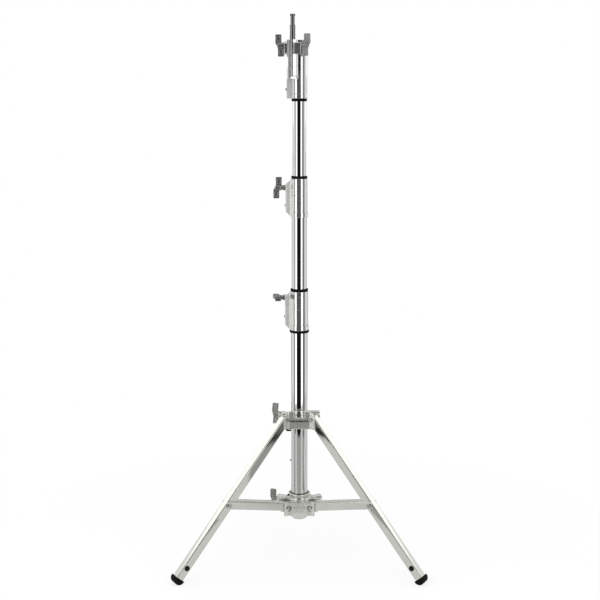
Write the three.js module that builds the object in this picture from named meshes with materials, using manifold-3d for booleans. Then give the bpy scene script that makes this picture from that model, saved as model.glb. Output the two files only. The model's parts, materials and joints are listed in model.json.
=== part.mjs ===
// Combo stand for film lights and grip gear: three folding legs on two castings, a steel base column with
// two telescoping risers, and a head with a 28 mm receiver beside a sliding 16 mm stud.
// Lengths are millimetres, angles are degrees, and +Z is up.
import * as THREE from "three";
import { mergeVertices } from "three/addons/utils/BufferGeometryUtils.js";
import Module from "manifold-3d";

const wasm = await Module();
wasm.setup();

// Shared fits
const gap = 0.3; // between pieces that touch
const slideGap = 0.5; // radial play of a tube that slides in another
const overrun = 2; // how far a cutting tool runs past what it cuts
const weld = 1e-4; // distance at which two vertices are one
const roundSides = 24; // sides of a large turned piece
const pinSides = 16; // sides of the stud and its sleeve
const smallSides = 12; // sides of a screw, bolt or boss
const arcSteps = 3; // steps of a quarter turn on a rounded outline

// Tubes of the column and its two risers
const tubeWall = 2;
const baseTubeRadius = 25;
const riser1Radius = 22.5;
const riser2Radius = 20;
const baseTubeLength = 603.6;
const riser1Length = 560;
const riser2Length = 615.7;
const riser1Rise = 335; // height of collar 2 above collar 1, as the riser stands drawn out
const riser2Rise = 342; // height of the head above collar 2

// Legs and braces
const legCount = 3;
const legTilt = 39.9; // from the vertical
const legWidth = 25;
const legWall = 2;
const legCorner = 2.5;
const legReach = 557; // upper pivot to the foot's centre
const legSpan = 304; // upper pivot to the brace's pivot
const braceRise = 39.6957; // the brace's outer pivot above its inner one
const braceWall = 2;
const braceWebHeight = 14.8; // top of the web above the pivots
const braceDrop = 10; // lower edge of the flanges below the pivots
const braceWebStop = 24; // the web stops short of the outer pivot
const sideGap = 0.4; // beside each member of the linkage
const pivotRadius = 49; // from the column's axis to the castings' pivots

// Feet
const footRadius = 16;
const footWidth = 31;
const footFlat = 0.5; // depth of the flat that the foot stands on
const footCollar = 2; // top of the rubber above the foot's centre
const legTail = 4; // leg tube past the foot's centre
const footPinHeight = 38;
const footPinRadius = 4;
const footPinHeadRadius = 8;
const footPinHead = 1.5;

// Bolts of the linkage
const boltRadius = 4;
const boltHeadRadius = 6.5;
const boltHead = 4;
const boltPocketRadius = 8.2;
const legBoltHeadRadius = 7.25;
const legBoltHead = 3.2;

// Lower casting, fixed on the base column
const columnBelowPivot = 39; // base tube below the lower pivots
const lowerDrop = 24; // casting below the pivots
const lowerRise = 20; // plates above the pivots
const lowerPlate = 44.5; // plates from the axis
const lowerEar = 4.2;
const lowerEarReach = 62.5;
const lowerFloor = 33.5; // slot floor from the axis
const lowerHubRadius = 31;
const lowerCollarTop = 38; // flared collar above the pivots
const lowerFlareRadius = 33;
const lowerMouthRadius = 29.5;
const lowerMouthDepth = 10;
const lowerFlareLip = 3; // straight band at the flare's foot and rim
const lowerBushHeight = 6;
const lowerArchHeight = 6; // arch in the lower edge of each plate
const lowerArchHalf = 24;
const lowerLugReach = 76; // lugs for the clamping screws, from the axis
const plateWall = 4;
const roofWall = 6;

// Upper casting, sliding on the base column
const upperDrop = 28.5;
const upperRise = 27.2;
const upperCornerRise = 14;
const upperPlate = 42.5;
const upperEar = 4.5;
const upperEarReach = 62.6;
const upperFloor = 35;
const upperHubRadius = 31;
const upperBossEnd = 60;
const upperPocketRise = 8;
const hornRise = 14; // horn's tip above the plate's corner
const hornReach = 20; // horn's tip beyond the ear
const hornRoot = 8; // depth of the horn where it leaves the ear
const hornTip = 4.5;
const bumperLength = 15;
const bumperDepth = 6;
const bumperHeight = 4;
const bumperPlace = 31.5; // from the plate's middle, along the plate

// Bosses for the clamping screws
const bossRadius = 9.5;
const screwLugHeight = 38; // lugs on the lower casting and the head
const screwRadius = 5;
const screwPlay = 0.3;

// T-handles
const handleHubRadius = 8.5;
const handleNeckRadius = 6.8;
const handleFlange = 4;
const handleHub = 14;
const handleStub = 4; // hub of the handles that seat on a lug
const wingSpan = 62;
const wingWidth = 17.5;
const wingDepth = 9;
const wingCorner = 2;
const wingOffset = 3.6; // of each lobe along the screw, the one out and the other in
const wingStep = 6; // from the screw to where a lobe starts
// How far each wing on the castings and the head is turned about its screw
const lowerTurn = 0;
const upperTurn = 12;
const receiverTurn = 0;
const studTurn = 0;

// Collars that clamp the risers
const collarWall = 2;
const collarSocket = 25; // length of tube held in the collar's foot
const collarSkirt = 16;
const collarSkirtWall = 2.3;
const collarGroove = 0.8;
const collarGrooveWidth = 2;
const collarGrooveHeight = 63;
const ringHeight = 8;
const ringWall = 3.6;
const lugWidth = 20;
const lugReach = 16.5; // lug beyond the collar's wall
const lugChamfer = 15;
const lugInset = 2; // lug's ends from the collar's edges
const padLength = 5;
const lugScrewRadius = 2.5;
const lugScrewHeadRadius = 4.2;
const lugScrewHead = 2.6;
const lugScrewDepth = 10;
const collar1 = { height: 116, handleHeight: 97, handleTurn: 86, screwHeight: 40 };
const collar2 = { height: 112, handleHeight: 86, handleTurn: 180, screwHeight: 35 };
const footRingHeight = 7;
const footRingWall = 4;

// Bushes on the lower ends of the risers
const bushFlange = 6;
const bushSpigot = 18;
const bushBoreRadius = 14;

// Base tube's end plug and stop stud
const plugRadius = 22;
const plugFlange = 3.7;
const plugChamfer = 2;
const plugSpigot = 20;
const stopHeight = 138; // above the lower pivots
const stopHeadRadius = 2.6;
const stopHead = 3;
const stopShankRadius = 1.6;
const setScrewRadius = 2.8;
const setScrewReach = 36.5;
const setScrewDepth = 7;

// Head
const headSkirtHeight = 12;
const headSkirtRadius = 24;
const headRadius = 23.4;
const headHeight = 164;
const headSocketDepth = 50; // riser held in the head
const headFloor = 16; // solid between the riser's end and the receiver
const receiverRadius = 14.3;
const receiverSlot = 3;
const receiverSlotLow = 6; // above the receiver's floor
const receiverSlotHigh = 60;
const receiverLugReach = 43; // lug face from the receiver's axis
const sleeveAside = -18.9; // stud sleeve's axis from the column's
const sleeveForward = -19;
const sleeveRadius = 16.5;
const sleeveBottom = 55; // above the head's lower edge
const sleeveFloor = 6;
const sleeveSlit = 2.4;
const sleeveLugReach = 32; // lug face from the sleeve's axis
const sleeveLugTurn = -32; // direction of the stud's clamping screw
const headRingHeight = 8;
const headRingWall = 2.4;
const headLugDrop = 22; // middle of the lugs below the head's top
const headHandleDrop = 15; // clamping screws below the head's top
const heelReach = 36.6; // lower lug from the column's axis
const heelWidth = 16;
const heelHeight = 57;
const heelChamfer = 3;
const heelScrewHeight = 26;

// Sliding stud
const studRadius = 8;
const studPlay = 0.3;
const studLength = 109.5;
const studRise = 71.5; // above the sleeve
const studFlange = 5.5;
const studNeck = 24;
const studNeckRadius = 6;
const studChamfer = 1;

// Places that follow from the sizes above
const tilt = THREE.MathUtils.degToRad(legTilt);
const footZ = footRadius - footFlat;
const upperPivotZ = footZ + legReach * Math.cos(tilt);
const braceReach = legSpan * Math.sin(tilt);
const braceLength = Math.hypot(braceReach, braceRise);
const braceAngle = Math.atan2(braceRise, braceReach);
const bracePivotZ = upperPivotZ - legSpan * Math.cos(tilt);
const lowerPivotZ = bracePivotZ - braceRise;
const braceHalf = legWidth / 2 + sideGap + braceWall;
const lowerSlot = braceHalf + sideGap;
const upperSlot = legWidth / 2 + sideGap;
const baseTubeZ = lowerPivotZ - columnBelowPivot;
const collar1Z = baseTubeZ + baseTubeLength - collarSocket + gap;
const collar2Z = collar1Z + riser1Rise;
const headZ = collar2Z + riser2Rise;
const headTopZ = headZ + headHeight;
const handleZ = headTopZ - headHandleDrop;
const sleeveLugAzimuth = THREE.MathUtils.degToRad(sleeveLugTurn);
const legTurn = (2 * Math.PI) / legCount;
const legAzimuths = Array.from({ length: legCount }, (_, k) => Math.PI / 2 + legTurn * (k + 1));
const podAzimuths = legAzimuths.map((azimuth) => azimuth + legTurn / 2);
const frontPod = podAzimuths[0];
const rightPod = podAzimuths[1];
const leftPod = podAzimuths[2];

// Finishes
const finish = (color, roughness, metalness) =>
  new THREE.MeshStandardMaterial({ color, roughness, metalness });
const chrome = () => finish(0xd8d9db, 0.12, 1);
const satinChrome = () => finish(0xcfd0d2, 0.28, 1);
const castAlloy = () => finish(0xc4c5c4, 0.4, 1);
const greyCast = () => finish(0x8b8b8a, 0.45, 1);
const zincSteel = () => finish(0xb4b5b5, 0.35, 1);
const blackRubber = () => finish(0x1d1d1f, 0.8, 0);
const blackPlastic = () => finish(0x232326, 0.55, 0);

// A closed solid from a geometry, with shared corners merged and its faces turned outwards.
function solidOf(shape) {
  if (shape instanceof wasm.Manifold) return shape;
  const bare = shape.index ? shape.toNonIndexed() : shape.clone();
  bare.deleteAttribute("normal");
  bare.deleteAttribute("uv");
  const merged = mergeVertices(bare, weld);
  const at = merged.getAttribute("position");
  const corners = [0, 1, 2].map(() => new THREE.Vector3());
  const kept = [];
  let volume = 0;
  for (let i = 0; i < merged.index.count; i += 3) {
    const ids = [0, 1, 2].map((j) => merged.index.getX(i + j));
    if (new Set(ids).size < 3) continue;
    ids.forEach((id, j) => corners[j].fromBufferAttribute(at, id));
    volume += corners[0].dot(corners[1].clone().cross(corners[2]));
    kept.push(ids);
  }
  const triVerts = new Uint32Array(kept.flatMap(([a, b, c]) => (volume < 0 ? [a, c, b] : [a, b, c])));
  return new wasm.Manifold(new wasm.Mesh({ numProp: 3, vertProperties: at.array, triVerts }));
}

const join = (...shapes) => shapes.map(solidOf).reduce((whole, part) => whole.add(part));
const cut = (shape, ...tools) =>
  tools.map(solidOf).reduce((left, tool) => left.subtract(tool), solidOf(shape));
const common = (a, b) => solidOf(a).intersect(solidOf(b));

function geometryOf(shape) {
  const mesh = solidOf(shape).getMesh();
  const geometry = new THREE.BufferGeometry();
  geometry.setAttribute("position", new THREE.BufferAttribute(mesh.vertProperties, mesh.numProp));
  geometry.setIndex(new THREE.BufferAttribute(mesh.triVerts, 1));
  const faceted = geometry.toNonIndexed();
  faceted.computeVertexNormals();
  return faceted;
}

function piece(name, shape, material) {
  const mesh = new THREE.Mesh(geometryOf(shape), material);
  mesh.name = name;
  return mesh;
}

// Basic forms: a turned profile of [radius, height] points about Z, an outline raised along Z, and a block.
function turned(profile, sides = roundSides) {
  const points = profile.map(([radius, height]) => new THREE.Vector2(radius, height));
  return new THREE.LatheGeometry(points, sides).rotateX(Math.PI / 2);
}

function ring(outer, inner, low, high, sides = roundSides) {
  const profile = [
    [inner, low],
    [outer, low],
    [outer, high],
    [inner, high],
    [inner, low],
  ];
  return turned(profile, sides);
}

function rodZ(radius, low, high, sides = smallSides) {
  const rod = new THREE.CylinderGeometry(radius, radius, high - low, sides).rotateX(Math.PI / 2);
  return rod.translate(0, 0, (low + high) / 2);
}

const rodX = (radius, low, high, sides) => rodZ(radius, low, high, sides).rotateY(Math.PI / 2);
const rodY = (radius, low, high, sides) => rodZ(radius, low, high, sides).rotateX(-Math.PI / 2);

function block([x0, x1], [y0, y1], [z0, z1]) {
  const box = new THREE.BoxGeometry(x1 - x0, y1 - y0, z1 - z0);
  return box.translate((x0 + x1) / 2, (y0 + y1) / 2, (z0 + z1) / 2);
}

function raised(shape, low, high) {
  const options = { depth: high - low, bevelEnabled: false, curveSegments: arcSteps };
  const solid = new THREE.ExtrudeGeometry(shape, options);
  return solid.translate(0, 0, low);
}

const outline = (points) => new THREE.Shape(points.map(([x, y]) => new THREE.Vector2(x, y)));
// An outline drawn in X and Z, with its thickness along Y.
const upright = (shape, low, high) => raised(shape, -high, -low).rotateX(Math.PI / 2);

// The upright outline of a plate whose ends are round: both arcs have the plate's half height.
function stadium(x0, x1, low, high) {
  const radius = (high - low) / 2;
  const shape = new THREE.Shape();
  shape.absarc(x1, low + radius, radius, -Math.PI / 2, Math.PI / 2, false);
  shape.absarc(x0, low + radius, radius, Math.PI / 2, (3 * Math.PI) / 2, false);
  return shape;
}

function tube(radius, length) {
  return solidOf(ring(radius, radius - tubeWall, 0, length));
}

// The spider casting's plan: three pods between three radial slots. Each pod has a flat plate across its
// front and an ear along each slot.
function podOutline({ slot, ear, reach, plate, floor }) {
  const points = [];
  const place = (azimuth, along, aside) => {
    const c = Math.cos(azimuth);
    const s = Math.sin(azimuth);
    points.push([along * c - aside * s, along * s + aside * c]);
  };
  const turn = legTurn / 2;
  const outer = slot + ear;
  // Along a slot's outer face, the place where it meets the plate.
  const plateEnd = (plate - outer * Math.sin(turn)) / Math.cos(turn);
  for (const azimuth of legAzimuths) {
    place(azimuth, floor, -slot);
    place(azimuth, floor, slot);
    place(azimuth, reach, slot);
    place(azimuth, reach, outer);
    place(azimuth, plateEnd, outer);
    const next = azimuth + 2 * turn;
    place(next, plateEnd, -outer);
    place(next, reach, -outer);
    place(next, reach, -slot);
  }
  return outline(points);
}

// The hollow inside a pod, between the hub, the ears and the plate, open below.
function podHollow({ slot, ear, plate, hub }, azimuth, low, high) {
  const turn = legTurn / 2;
  const near = hub + gap;
  const far = plate - plateWall;
  const side = (distance) => (distance * Math.sin(turn) - (slot + ear)) / Math.cos(turn);
  const shape = outline([
    [near, -side(near)],
    [far, -side(far)],
    [far, side(far)],
    [near, side(near)],
  ]);
  return raised(shape, low, high).rotateZ(azimuth);
}

// Everything that is alike in the two castings: pods with hollows, and the linkage's bores and bolt pockets.
function spider(spec, pivotZ, low, high, hollowTop) {
  const hollows = podAzimuths.map((azimuth) => podHollow(spec, azimuth, low - overrun, hollowTop));
  const outer = spec.slot + spec.ear;
  const bores = legAzimuths.map((azimuth) =>
    rodY(boltRadius + gap, -outer - overrun, outer + overrun)
      .translate(pivotRadius, 0, pivotZ)
      .rotateZ(azimuth),
  );
  const pockets = legAzimuths.flatMap((azimuth) =>
    [-1, 1].map((side) =>
      rodY(boltPocketRadius, outer, spec.reach)
        .scale(1, side, 1)
        .translate(pivotRadius, 0, pivotZ)
        .rotateZ(azimuth),
    ),
  );
  return cut(raised(podOutline(spec), low, high), ...hollows, ...bores, ...pockets);
}

// The bore of a clamping screw, from an axis out past the face that the screw's T-handle seats on.
function screwBore(face, azimuth, z) {
  return rodX(screwRadius + screwPlay, 0, face + overrun)
    .rotateZ(azimuth)
    .translate(0, 0, z);
}

// A lug for a clamping screw: a bar with round upper and lower ends, between two distances from an axis.
function screwLug(azimuth, z, near, far) {
  const half = screwLugHeight / 2 - bossRadius;
  return raised(stadium(-half, half, -bossRadius, bossRadius), near, far)
    .rotateY(Math.PI / 2)
    .rotateZ(azimuth)
    .translate(0, 0, z);
}

// A T-handle along +X from its seat at x = 0: a turned hub, a wing of two lobes, and its screw behind the
// seat.
function handleSolid(screwLength, hubLength) {
  const half = wingSpan / 2;
  const middle = hubLength + wingWidth / 2;
  const at = (along, span) => [middle + along + Math.sign(span) * wingOffset, span];
  const wing = outline([
    at(-wingWidth / 2, wingCorner - half),
    at(wingCorner - wingWidth / 2, -half),
    at(wingWidth / 2 - wingCorner, -half),
    at(wingWidth / 2, wingCorner - half),
    at(wingWidth / 2, -wingStep),
    at(wingWidth / 2, wingStep),
    at(wingWidth / 2, half - wingCorner),
    at(wingWidth / 2 - wingCorner, half),
    at(wingCorner - wingWidth / 2, half),
    at(-wingWidth / 2, half - wingCorner),
    at(-wingWidth / 2, wingStep),
    at(-wingWidth / 2, -wingStep),
  ]);
  const neckStart = handleFlange + handleHubRadius - handleNeckRadius;
  const neck = [
    [handleHubRadius, handleFlange],
    [handleNeckRadius, neckStart],
    [handleNeckRadius, hubLength],
  ];
  const hub = turned(
    [
      [0, 0],
      [handleHubRadius, 0],
      ...(hubLength > neckStart ? neck : []),
      [handleHubRadius, middle],
      [0, middle],
    ],
    smallSides,
  ).rotateY(Math.PI / 2);
  return join(upright(wing, -wingDepth / 2, wingDepth / 2), hub, rodX(screwRadius, -screwLength, overrun));
}

// A T-handle seated at a distance from an axis, with the tip of its screw at another distance from it.
function handle(name, { azimuth, x = 0, y = 0, z, seat, tip, turn, hub = handleHub }) {
  const mesh = piece(name, handleSolid(seat + gap - tip, hub), greyCast());
  mesh.rotation.x = THREE.MathUtils.degToRad(turn);
  mesh.position.x = seat + gap;
  const spoke = new THREE.Group();
  spoke.position.set(x, y, z);
  spoke.rotation.z = azimuth;
  spoke.add(mesh);
  return spoke;
}

// A bolt or rivet along Y, with a head on each side of what it holds.
function boltSolid(radius, headRadius, head, half) {
  const profile = [
    [0, -half - head],
    [headRadius, -half - head],
    [headRadius, -half],
    [radius, -half],
    [radius, half],
    [headRadius, half],
    [headRadius, half + head],
    [0, half + head],
  ];
  return turned(profile, smallSides).rotateX(-Math.PI / 2);
}

// A cap screw along X, driven into a face on the left.
function capScrew(face) {
  return join(
    rodX(lugScrewHeadRadius, -face - gap - lugScrewHead, -face - gap),
    rodX(lugScrewRadius, -face - gap - lugScrewHead / 2, -face + lugScrewDepth - gap),
  );
}

const capScrewBore = (face, z) =>
  rodX(lugScrewRadius + gap, -face - overrun, -face + lugScrewDepth).translate(0, 0, z);

const rubberRing = (name, outer, inner, low, high) =>
  piece(name, ring(outer, inner, low, high), blackRubber());

// Base column: tube, end plug, stop stud
function baseColumn() {
  const group = new THREE.Group();
  const stopZ = lowerPivotZ + stopHeight;
  const stopBore = rodX(stopShankRadius + gap, -baseTubeRadius - overrun, 0).translate(0, 0, stopZ);
  const column = cut(tube(baseTubeRadius, baseTubeLength).translate([0, 0, baseTubeZ]), stopBore);
  const spigot = baseTubeRadius - tubeWall - gap;
  const plug = turned([
    [0, baseTubeZ - gap - plugFlange],
    [plugRadius - plugChamfer, baseTubeZ - gap - plugFlange],
    [plugRadius, baseTubeZ - gap - plugFlange + plugChamfer],
    [plugRadius, baseTubeZ - gap],
    [spigot, baseTubeZ],
    [spigot, baseTubeZ + plugSpigot],
    [0, baseTubeZ + plugSpigot],
  ]);
  const stud = join(
    rodX(stopHeadRadius, -baseTubeRadius - gap - stopHead, -baseTubeRadius - gap),
    rodX(stopShankRadius, -baseTubeRadius - gap - stopHead / 2, gap - baseTubeRadius + tubeWall / 2),
  );
  const stop = piece("column_stop_stud", stud, zincSteel());
  stop.position.z = stopZ;
  group.add(piece("base_column_tube", column, chrome()), piece("column_end_plug", plug, satinChrome()), stop);
  return group;
}

// Lower casting, its bush, and the clamping screw at the back left
const lowerSpec = {
  slot: lowerSlot,
  ear: lowerEar,
  reach: lowerEarReach,
  plate: lowerPlate,
  floor: lowerFloor,
  hub: lowerHubRadius,
};

function lowerCasting() {
  const low = lowerPivotZ - lowerDrop;
  const high = lowerPivotZ + lowerRise;
  const top = lowerPivotZ + lowerCollarTop;
  const mouth = top - lowerMouthDepth;
  const bore = baseTubeRadius + gap;
  const arch = outline([
    [-lowerArchHalf, -overrun],
    [lowerArchHalf, -overrun],
    [lowerArchHalf - lowerArchHeight, lowerArchHeight],
    [lowerArchHeight - lowerArchHalf, lowerArchHeight],
  ]);
  const arches = podAzimuths.map((azimuth) =>
    upright(arch, lowerHubRadius, lowerEarReach)
      .rotateZ(azimuth - Math.PI / 2)
      .translate(0, 0, low),
  );
  const collar = turned([
    [0, low],
    [lowerHubRadius, low],
    [lowerHubRadius, high],
    [lowerHubRadius - lowerFlareLip, high + lowerFlareLip],
    [lowerFlareRadius, top - lowerFlareLip],
    [lowerFlareRadius, top],
    [0, top],
  ]);
  const lugs = [leftPod, rightPod].map((azimuth) =>
    screwLug(azimuth, lowerPivotZ, lowerHubRadius - overrun, lowerLugReach),
  );
  const setBore = rodX(setScrewRadius + gap, -lowerFlareRadius - overrun, 0).translate(0, 0, mouth);
  const plates = cut(spider(lowerSpec, lowerPivotZ, low, high, high - roofWall), ...arches);
  const body = join(plates, collar, ...lugs);
  const casting = cut(
    body,
    rodZ(bore, low - overrun, top + overrun, roundSides),
    rodZ(lowerMouthRadius, mouth, top + overrun, roundSides),
    screwBore(lowerLugReach, leftPod, lowerPivotZ),
    setBore,
  );
  const bushZ = mouth + gap;
  const group = new THREE.Group();
  group.add(
    piece("lower_casting", casting, castAlloy()),
    piece("lower_bush", ring(lowerMouthRadius - gap, bore, bushZ, bushZ + lowerBushHeight), zincSteel()),
    handle("lower_handle", {
      azimuth: leftPod,
      z: lowerPivotZ,
      seat: lowerLugReach,
      tip: bore,
      turn: lowerTurn,
      hub: handleStub,
    }),
  );
  const setScrew = rodX(setScrewRadius, -setScrewReach, -setScrewReach + setScrewDepth);
  const screw = piece("lower_set_screw", setScrew, blackPlastic());
  screw.position.z = mouth;
  group.add(screw);
  return group;
}

// Upper casting: arched plates, two horns on the front plate, and a clamping screw at the back left
const upperSpec = {
  slot: upperSlot,
  ear: upperEar,
  reach: upperEarReach,
  plate: upperPlate,
  floor: upperFloor,
  hub: upperHubRadius,
};

function archedPod(azimuth, low) {
  // Half the plate's width: the ear's corner as it is seen from the pod's front
  const half = upperEarReach * Math.sin(legTurn / 2) - upperSlot * Math.cos(legTurn / 2) + overrun;
  const shape = new THREE.Shape();
  const drop = upperRise - upperCornerRise;
  const radius = (half * half + drop * drop) / (2 * drop);
  const sweep = Math.asin(half / radius);
  shape.moveTo(-half, low);
  shape.lineTo(half, low);
  shape.lineTo(half, upperPivotZ + upperCornerRise);
  shape.absarc(0, upperPivotZ + upperRise - radius, radius, Math.PI / 2 - sweep, Math.PI / 2 + sweep, false);
  shape.lineTo(-half, low);
  return upright(shape, 0, upperEarReach + overrun).rotateZ(azimuth - Math.PI / 2);
}

function horn(azimuth, side) {
  const corner = upperPivotZ + upperCornerRise;
  const shape = outline([
    [upperEarReach - hornReach, corner - hornRoot],
    [upperEarReach, corner - hornRoot],
    [upperEarReach + hornReach, corner + hornRise - hornTip],
    [upperEarReach + hornReach - hornTip / 2, corner + hornRise],
    [upperEarReach - hornReach, corner],
  ]);
  return upright(shape, upperSlot, upperSlot + upperEar).scale(1, side, 1).rotateZ(azimuth);
}

function upperCasting() {
  const low = upperPivotZ - upperDrop;
  const high = upperPivotZ + upperRise;
  const pods = join(...podAzimuths.map((azimuth) => archedPod(azimuth, low)));
  const plates = common(spider(upperSpec, upperPivotZ, low, high, upperPivotZ + upperPocketRise), pods);
  const hub = rodZ(upperHubRadius, low, high, roundSides);
  const boss = rodX(bossRadius, upperHubRadius - overrun, upperBossEnd)
    .rotateZ(leftPod)
    .translate(0, 0, upperPivotZ);
  const horns = [horn(frontPod - legTurn / 2, 1), horn(frontPod + legTurn / 2, -1)];
  const casting = cut(
    join(plates, hub, boss, ...horns),
    rodZ(baseTubeRadius + slideGap, low - overrun, high + overrun, roundSides),
    screwBore(upperBossEnd, leftPod, upperPivotZ),
  );
  const group = new THREE.Group();
  group.add(
    piece("upper_casting", casting, castAlloy()),
    handle("upper_handle", {
      azimuth: leftPod,
      z: upperPivotZ,
      seat: upperBossEnd,
      tip: baseTubeRadius + slideGap,
      turn: upperTurn,
    }),
  );
  const plateMiddle = upperPlate - plateWall / 2;
  const bumper = block(
    [-bumperPlace - bumperLength / 2, -bumperPlace + bumperLength / 2],
    [-plateMiddle - bumperDepth / 2, -plateMiddle + bumperDepth / 2],
    [low - gap - bumperHeight, low - gap],
  );
  group.add(piece("upper_bumper", bumper, blackRubber()));
  return group;
}

// One leg with its brace, foot and pivots
function legSolid() {
  const half = legWidth / 2;
  const inner = half - legWall;
  const section = outline([
    [legCorner - half, -half],
    [half - legCorner, -half],
    [half, legCorner - half],
    [half, half - legCorner],
    [half - legCorner, half],
    [legCorner - half, half],
    [-half, half - legCorner],
    [-half, legCorner - half],
  ]);
  section.holes.push(
    outline([
      [-inner, -inner],
      [-inner, inner],
      [inner, inner],
      [inner, -inner],
    ]),
  );
  const profile = new THREE.Shape();
  profile.absarc(0, 0, half + gap, 0, Math.PI, false);
  profile.lineTo(-half - gap, -legReach - legTail - overrun);
  profile.lineTo(half + gap, -legReach - legTail - overrun);
  const bar = raised(section, -legReach - legTail, half);
  const bore = (distance, radius) => rodY(radius + gap, -legWidth, legWidth).translate(0, 0, -distance);
  return cut(
    common(bar, upright(profile, -legWidth, legWidth)),
    bore(0, boltRadius),
    bore(legSpan, boltRadius),
    bore(legReach - footPinHeight, footPinRadius),
  );
}

function footSolid(frame) {
  const half = footWidth / 2;
  const pocket = legWidth / 2 + gap;
  const above = block(
    [-footRadius - overrun, footRadius + overrun],
    [-half - overrun, half + overrun],
    [footCollar, footRadius + overrun],
  );
  const ground = block([-legReach, legReach], [-footWidth, footWidth], [-footWidth, 0])
    .translate(pivotRadius + legReach * Math.sin(tilt), 0, 0)
    .applyMatrix4(frame.clone().invert())
    .translate(0, 0, legReach);
  const pocketBox = block([-pocket, pocket], [-pocket, pocket], [-legTail - gap, footCollar + overrun]);
  return cut(rodY(footRadius, -half, half, pinSides), above, ground, pocketBox);
}

function braceSolid() {
  const inner = braceHalf - braceWall;
  const reach = braceLength + braceWebHeight;
  const shape = stadium(braceWall, braceLength - braceWall, -braceDrop, braceWebHeight);
  const flanges = upright(shape, -braceHalf, braceHalf);
  const channel = block([-reach, reach], [-inner, inner], [-braceLength, braceWebHeight - braceWall]);
  const opening = block([braceLength - braceWebStop, reach], [-inner, inner], [0, braceWebHeight + overrun]);
  const start = block([-reach, braceWall], [-inner, inner], [0, braceWebHeight + overrun]);
  const bores = [0, braceLength].map((x) =>
    rodY(boltRadius + gap, -braceHalf - overrun, braceHalf + overrun).translate(x, 0, 0),
  );
  return cut(flanges, channel, opening, start, ...bores);
}

function leg(index) {
  const name = `leg_${index + 1}`;
  const spoke = new THREE.Group();
  spoke.rotation.z = legAzimuths[index];

  const legFrame = new THREE.Group();
  legFrame.position.set(pivotRadius, 0, upperPivotZ);
  legFrame.rotation.y = -tilt;
  legFrame.updateMatrix();
  const foot = piece(`${name}_foot`, footSolid(legFrame.matrix), blackRubber());
  foot.position.z = -legReach;
  const pinHalf = legWidth / 2 + gap;
  const pin = piece(
    `${name}_foot_pin`,
    boltSolid(footPinRadius, footPinHeadRadius, footPinHead, pinHalf),
    blackPlastic(),
  );
  pin.position.z = footPinHeight - legReach;
  const bolt = piece(
    `${name}_brace_bolt`,
    boltSolid(boltRadius, legBoltHeadRadius, legBoltHead, braceHalf + gap),
    zincSteel(),
  );
  bolt.position.z = -legSpan;
  legFrame.add(piece(`${name}_tube`, legSolid(), satinChrome()), foot, pin, bolt);

  const braceFrame = new THREE.Group();
  braceFrame.position.set(pivotRadius, 0, lowerPivotZ);
  braceFrame.rotation.y = -braceAngle;
  braceFrame.add(piece(`brace_${index + 1}`, braceSolid(), satinChrome()));

  const castingBolt = piece(
    `brace_${index + 1}_casting_bolt`,
    boltSolid(boltRadius, boltHeadRadius, boltHead, lowerSlot + lowerEar + gap),
    zincSteel(),
  );
  castingBolt.position.set(pivotRadius, 0, lowerPivotZ);
  spoke.add(legFrame, braceFrame, castingBolt);

  // The upper pivot's two screws stop at the leg's sides.
  const ends = [
    ["left", -1],
    ["right", 1],
  ];
  for (const [side, sign] of ends) {
    const outer = upperSlot + upperEar + gap;
    const screw = join(
      rodY(boltRadius, legWidth / 2 + gap, outer + boltHead / 2),
      rodY(boltHeadRadius, outer, outer + boltHead),
    );
    const mesh = piece(`${name}_pivot_screw_${side}`, screw, zincSteel());
    mesh.position.set(pivotRadius, 0, upperPivotZ);
    mesh.rotation.z = sign < 0 ? Math.PI : 0;
    spoke.add(mesh);
  }
  return spoke;
}

// A collar on a tube's top: it holds the tube in its foot, guides the next tube, and has a lug with the
// clamping screw on its left.
function collar(name, { height, handleHeight, handleTurn, screwHeight }, tubeRadius, innerRadius, z) {
  const socket = tubeRadius + gap;
  const wallRadius = Math.max(innerRadius + slideGap + collarWall, socket + collarWall / 2);
  const skirtRadius = socket + collarSkirtWall;
  const bore = innerRadius + slideGap;
  const outside = turned([
    [0, 0],
    [skirtRadius, 0],
    [skirtRadius, collarSkirt],
    [wallRadius, collarSkirt],
    [wallRadius, collarGrooveHeight],
    [wallRadius - collarGroove, collarGrooveHeight],
    [wallRadius - collarGroove, collarGrooveHeight + collarGrooveWidth],
    [wallRadius, collarGrooveHeight + collarGrooveWidth],
    [wallRadius, height],
    [0, height],
  ]);
  const lugFace = wallRadius + lugReach;
  const lug = upright(
    outline([
      [0, lugInset],
      [-skirtRadius, lugInset],
      [-lugFace, lugInset + lugChamfer],
      [-lugFace, height - lugInset - lugChamfer],
      [-skirtRadius, height - lugInset],
      [0, height - lugInset],
    ]),
    -lugWidth / 2,
    lugWidth / 2,
  );
  const body = cut(
    join(outside, lug),
    rodZ(bore, -overrun, height + overrun, roundSides),
    rodZ(socket, -overrun, collarSocket, roundSides),
    screwBore(lugFace, Math.PI, handleHeight),
    capScrewBore(lugFace, screwHeight),
  );
  const padTip = innerRadius + gap;
  const pad = rodX(screwRadius, -padTip - padLength, -padTip).translate(0, 0, handleHeight);
  const screw = piece(`${name}_lug_screw`, capScrew(lugFace), zincSteel());
  screw.position.z = screwHeight;
  const group = new THREE.Group();
  group.position.z = z;
  group.add(
    piece(`${name}_body`, body, chrome()),
    piece(`${name}_pad`, pad, blackPlastic()),
    rubberRing(`${name}_top_ring`, innerRadius + ringWall, bore, height + gap, height + gap + ringHeight),
    screw,
    handle(`${name}_handle`, {
      azimuth: Math.PI,
      z: handleHeight,
      seat: lugFace,
      tip: padTip + padLength + gap,
      turn: handleTurn,
    }),
  );
  return group;
}

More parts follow.
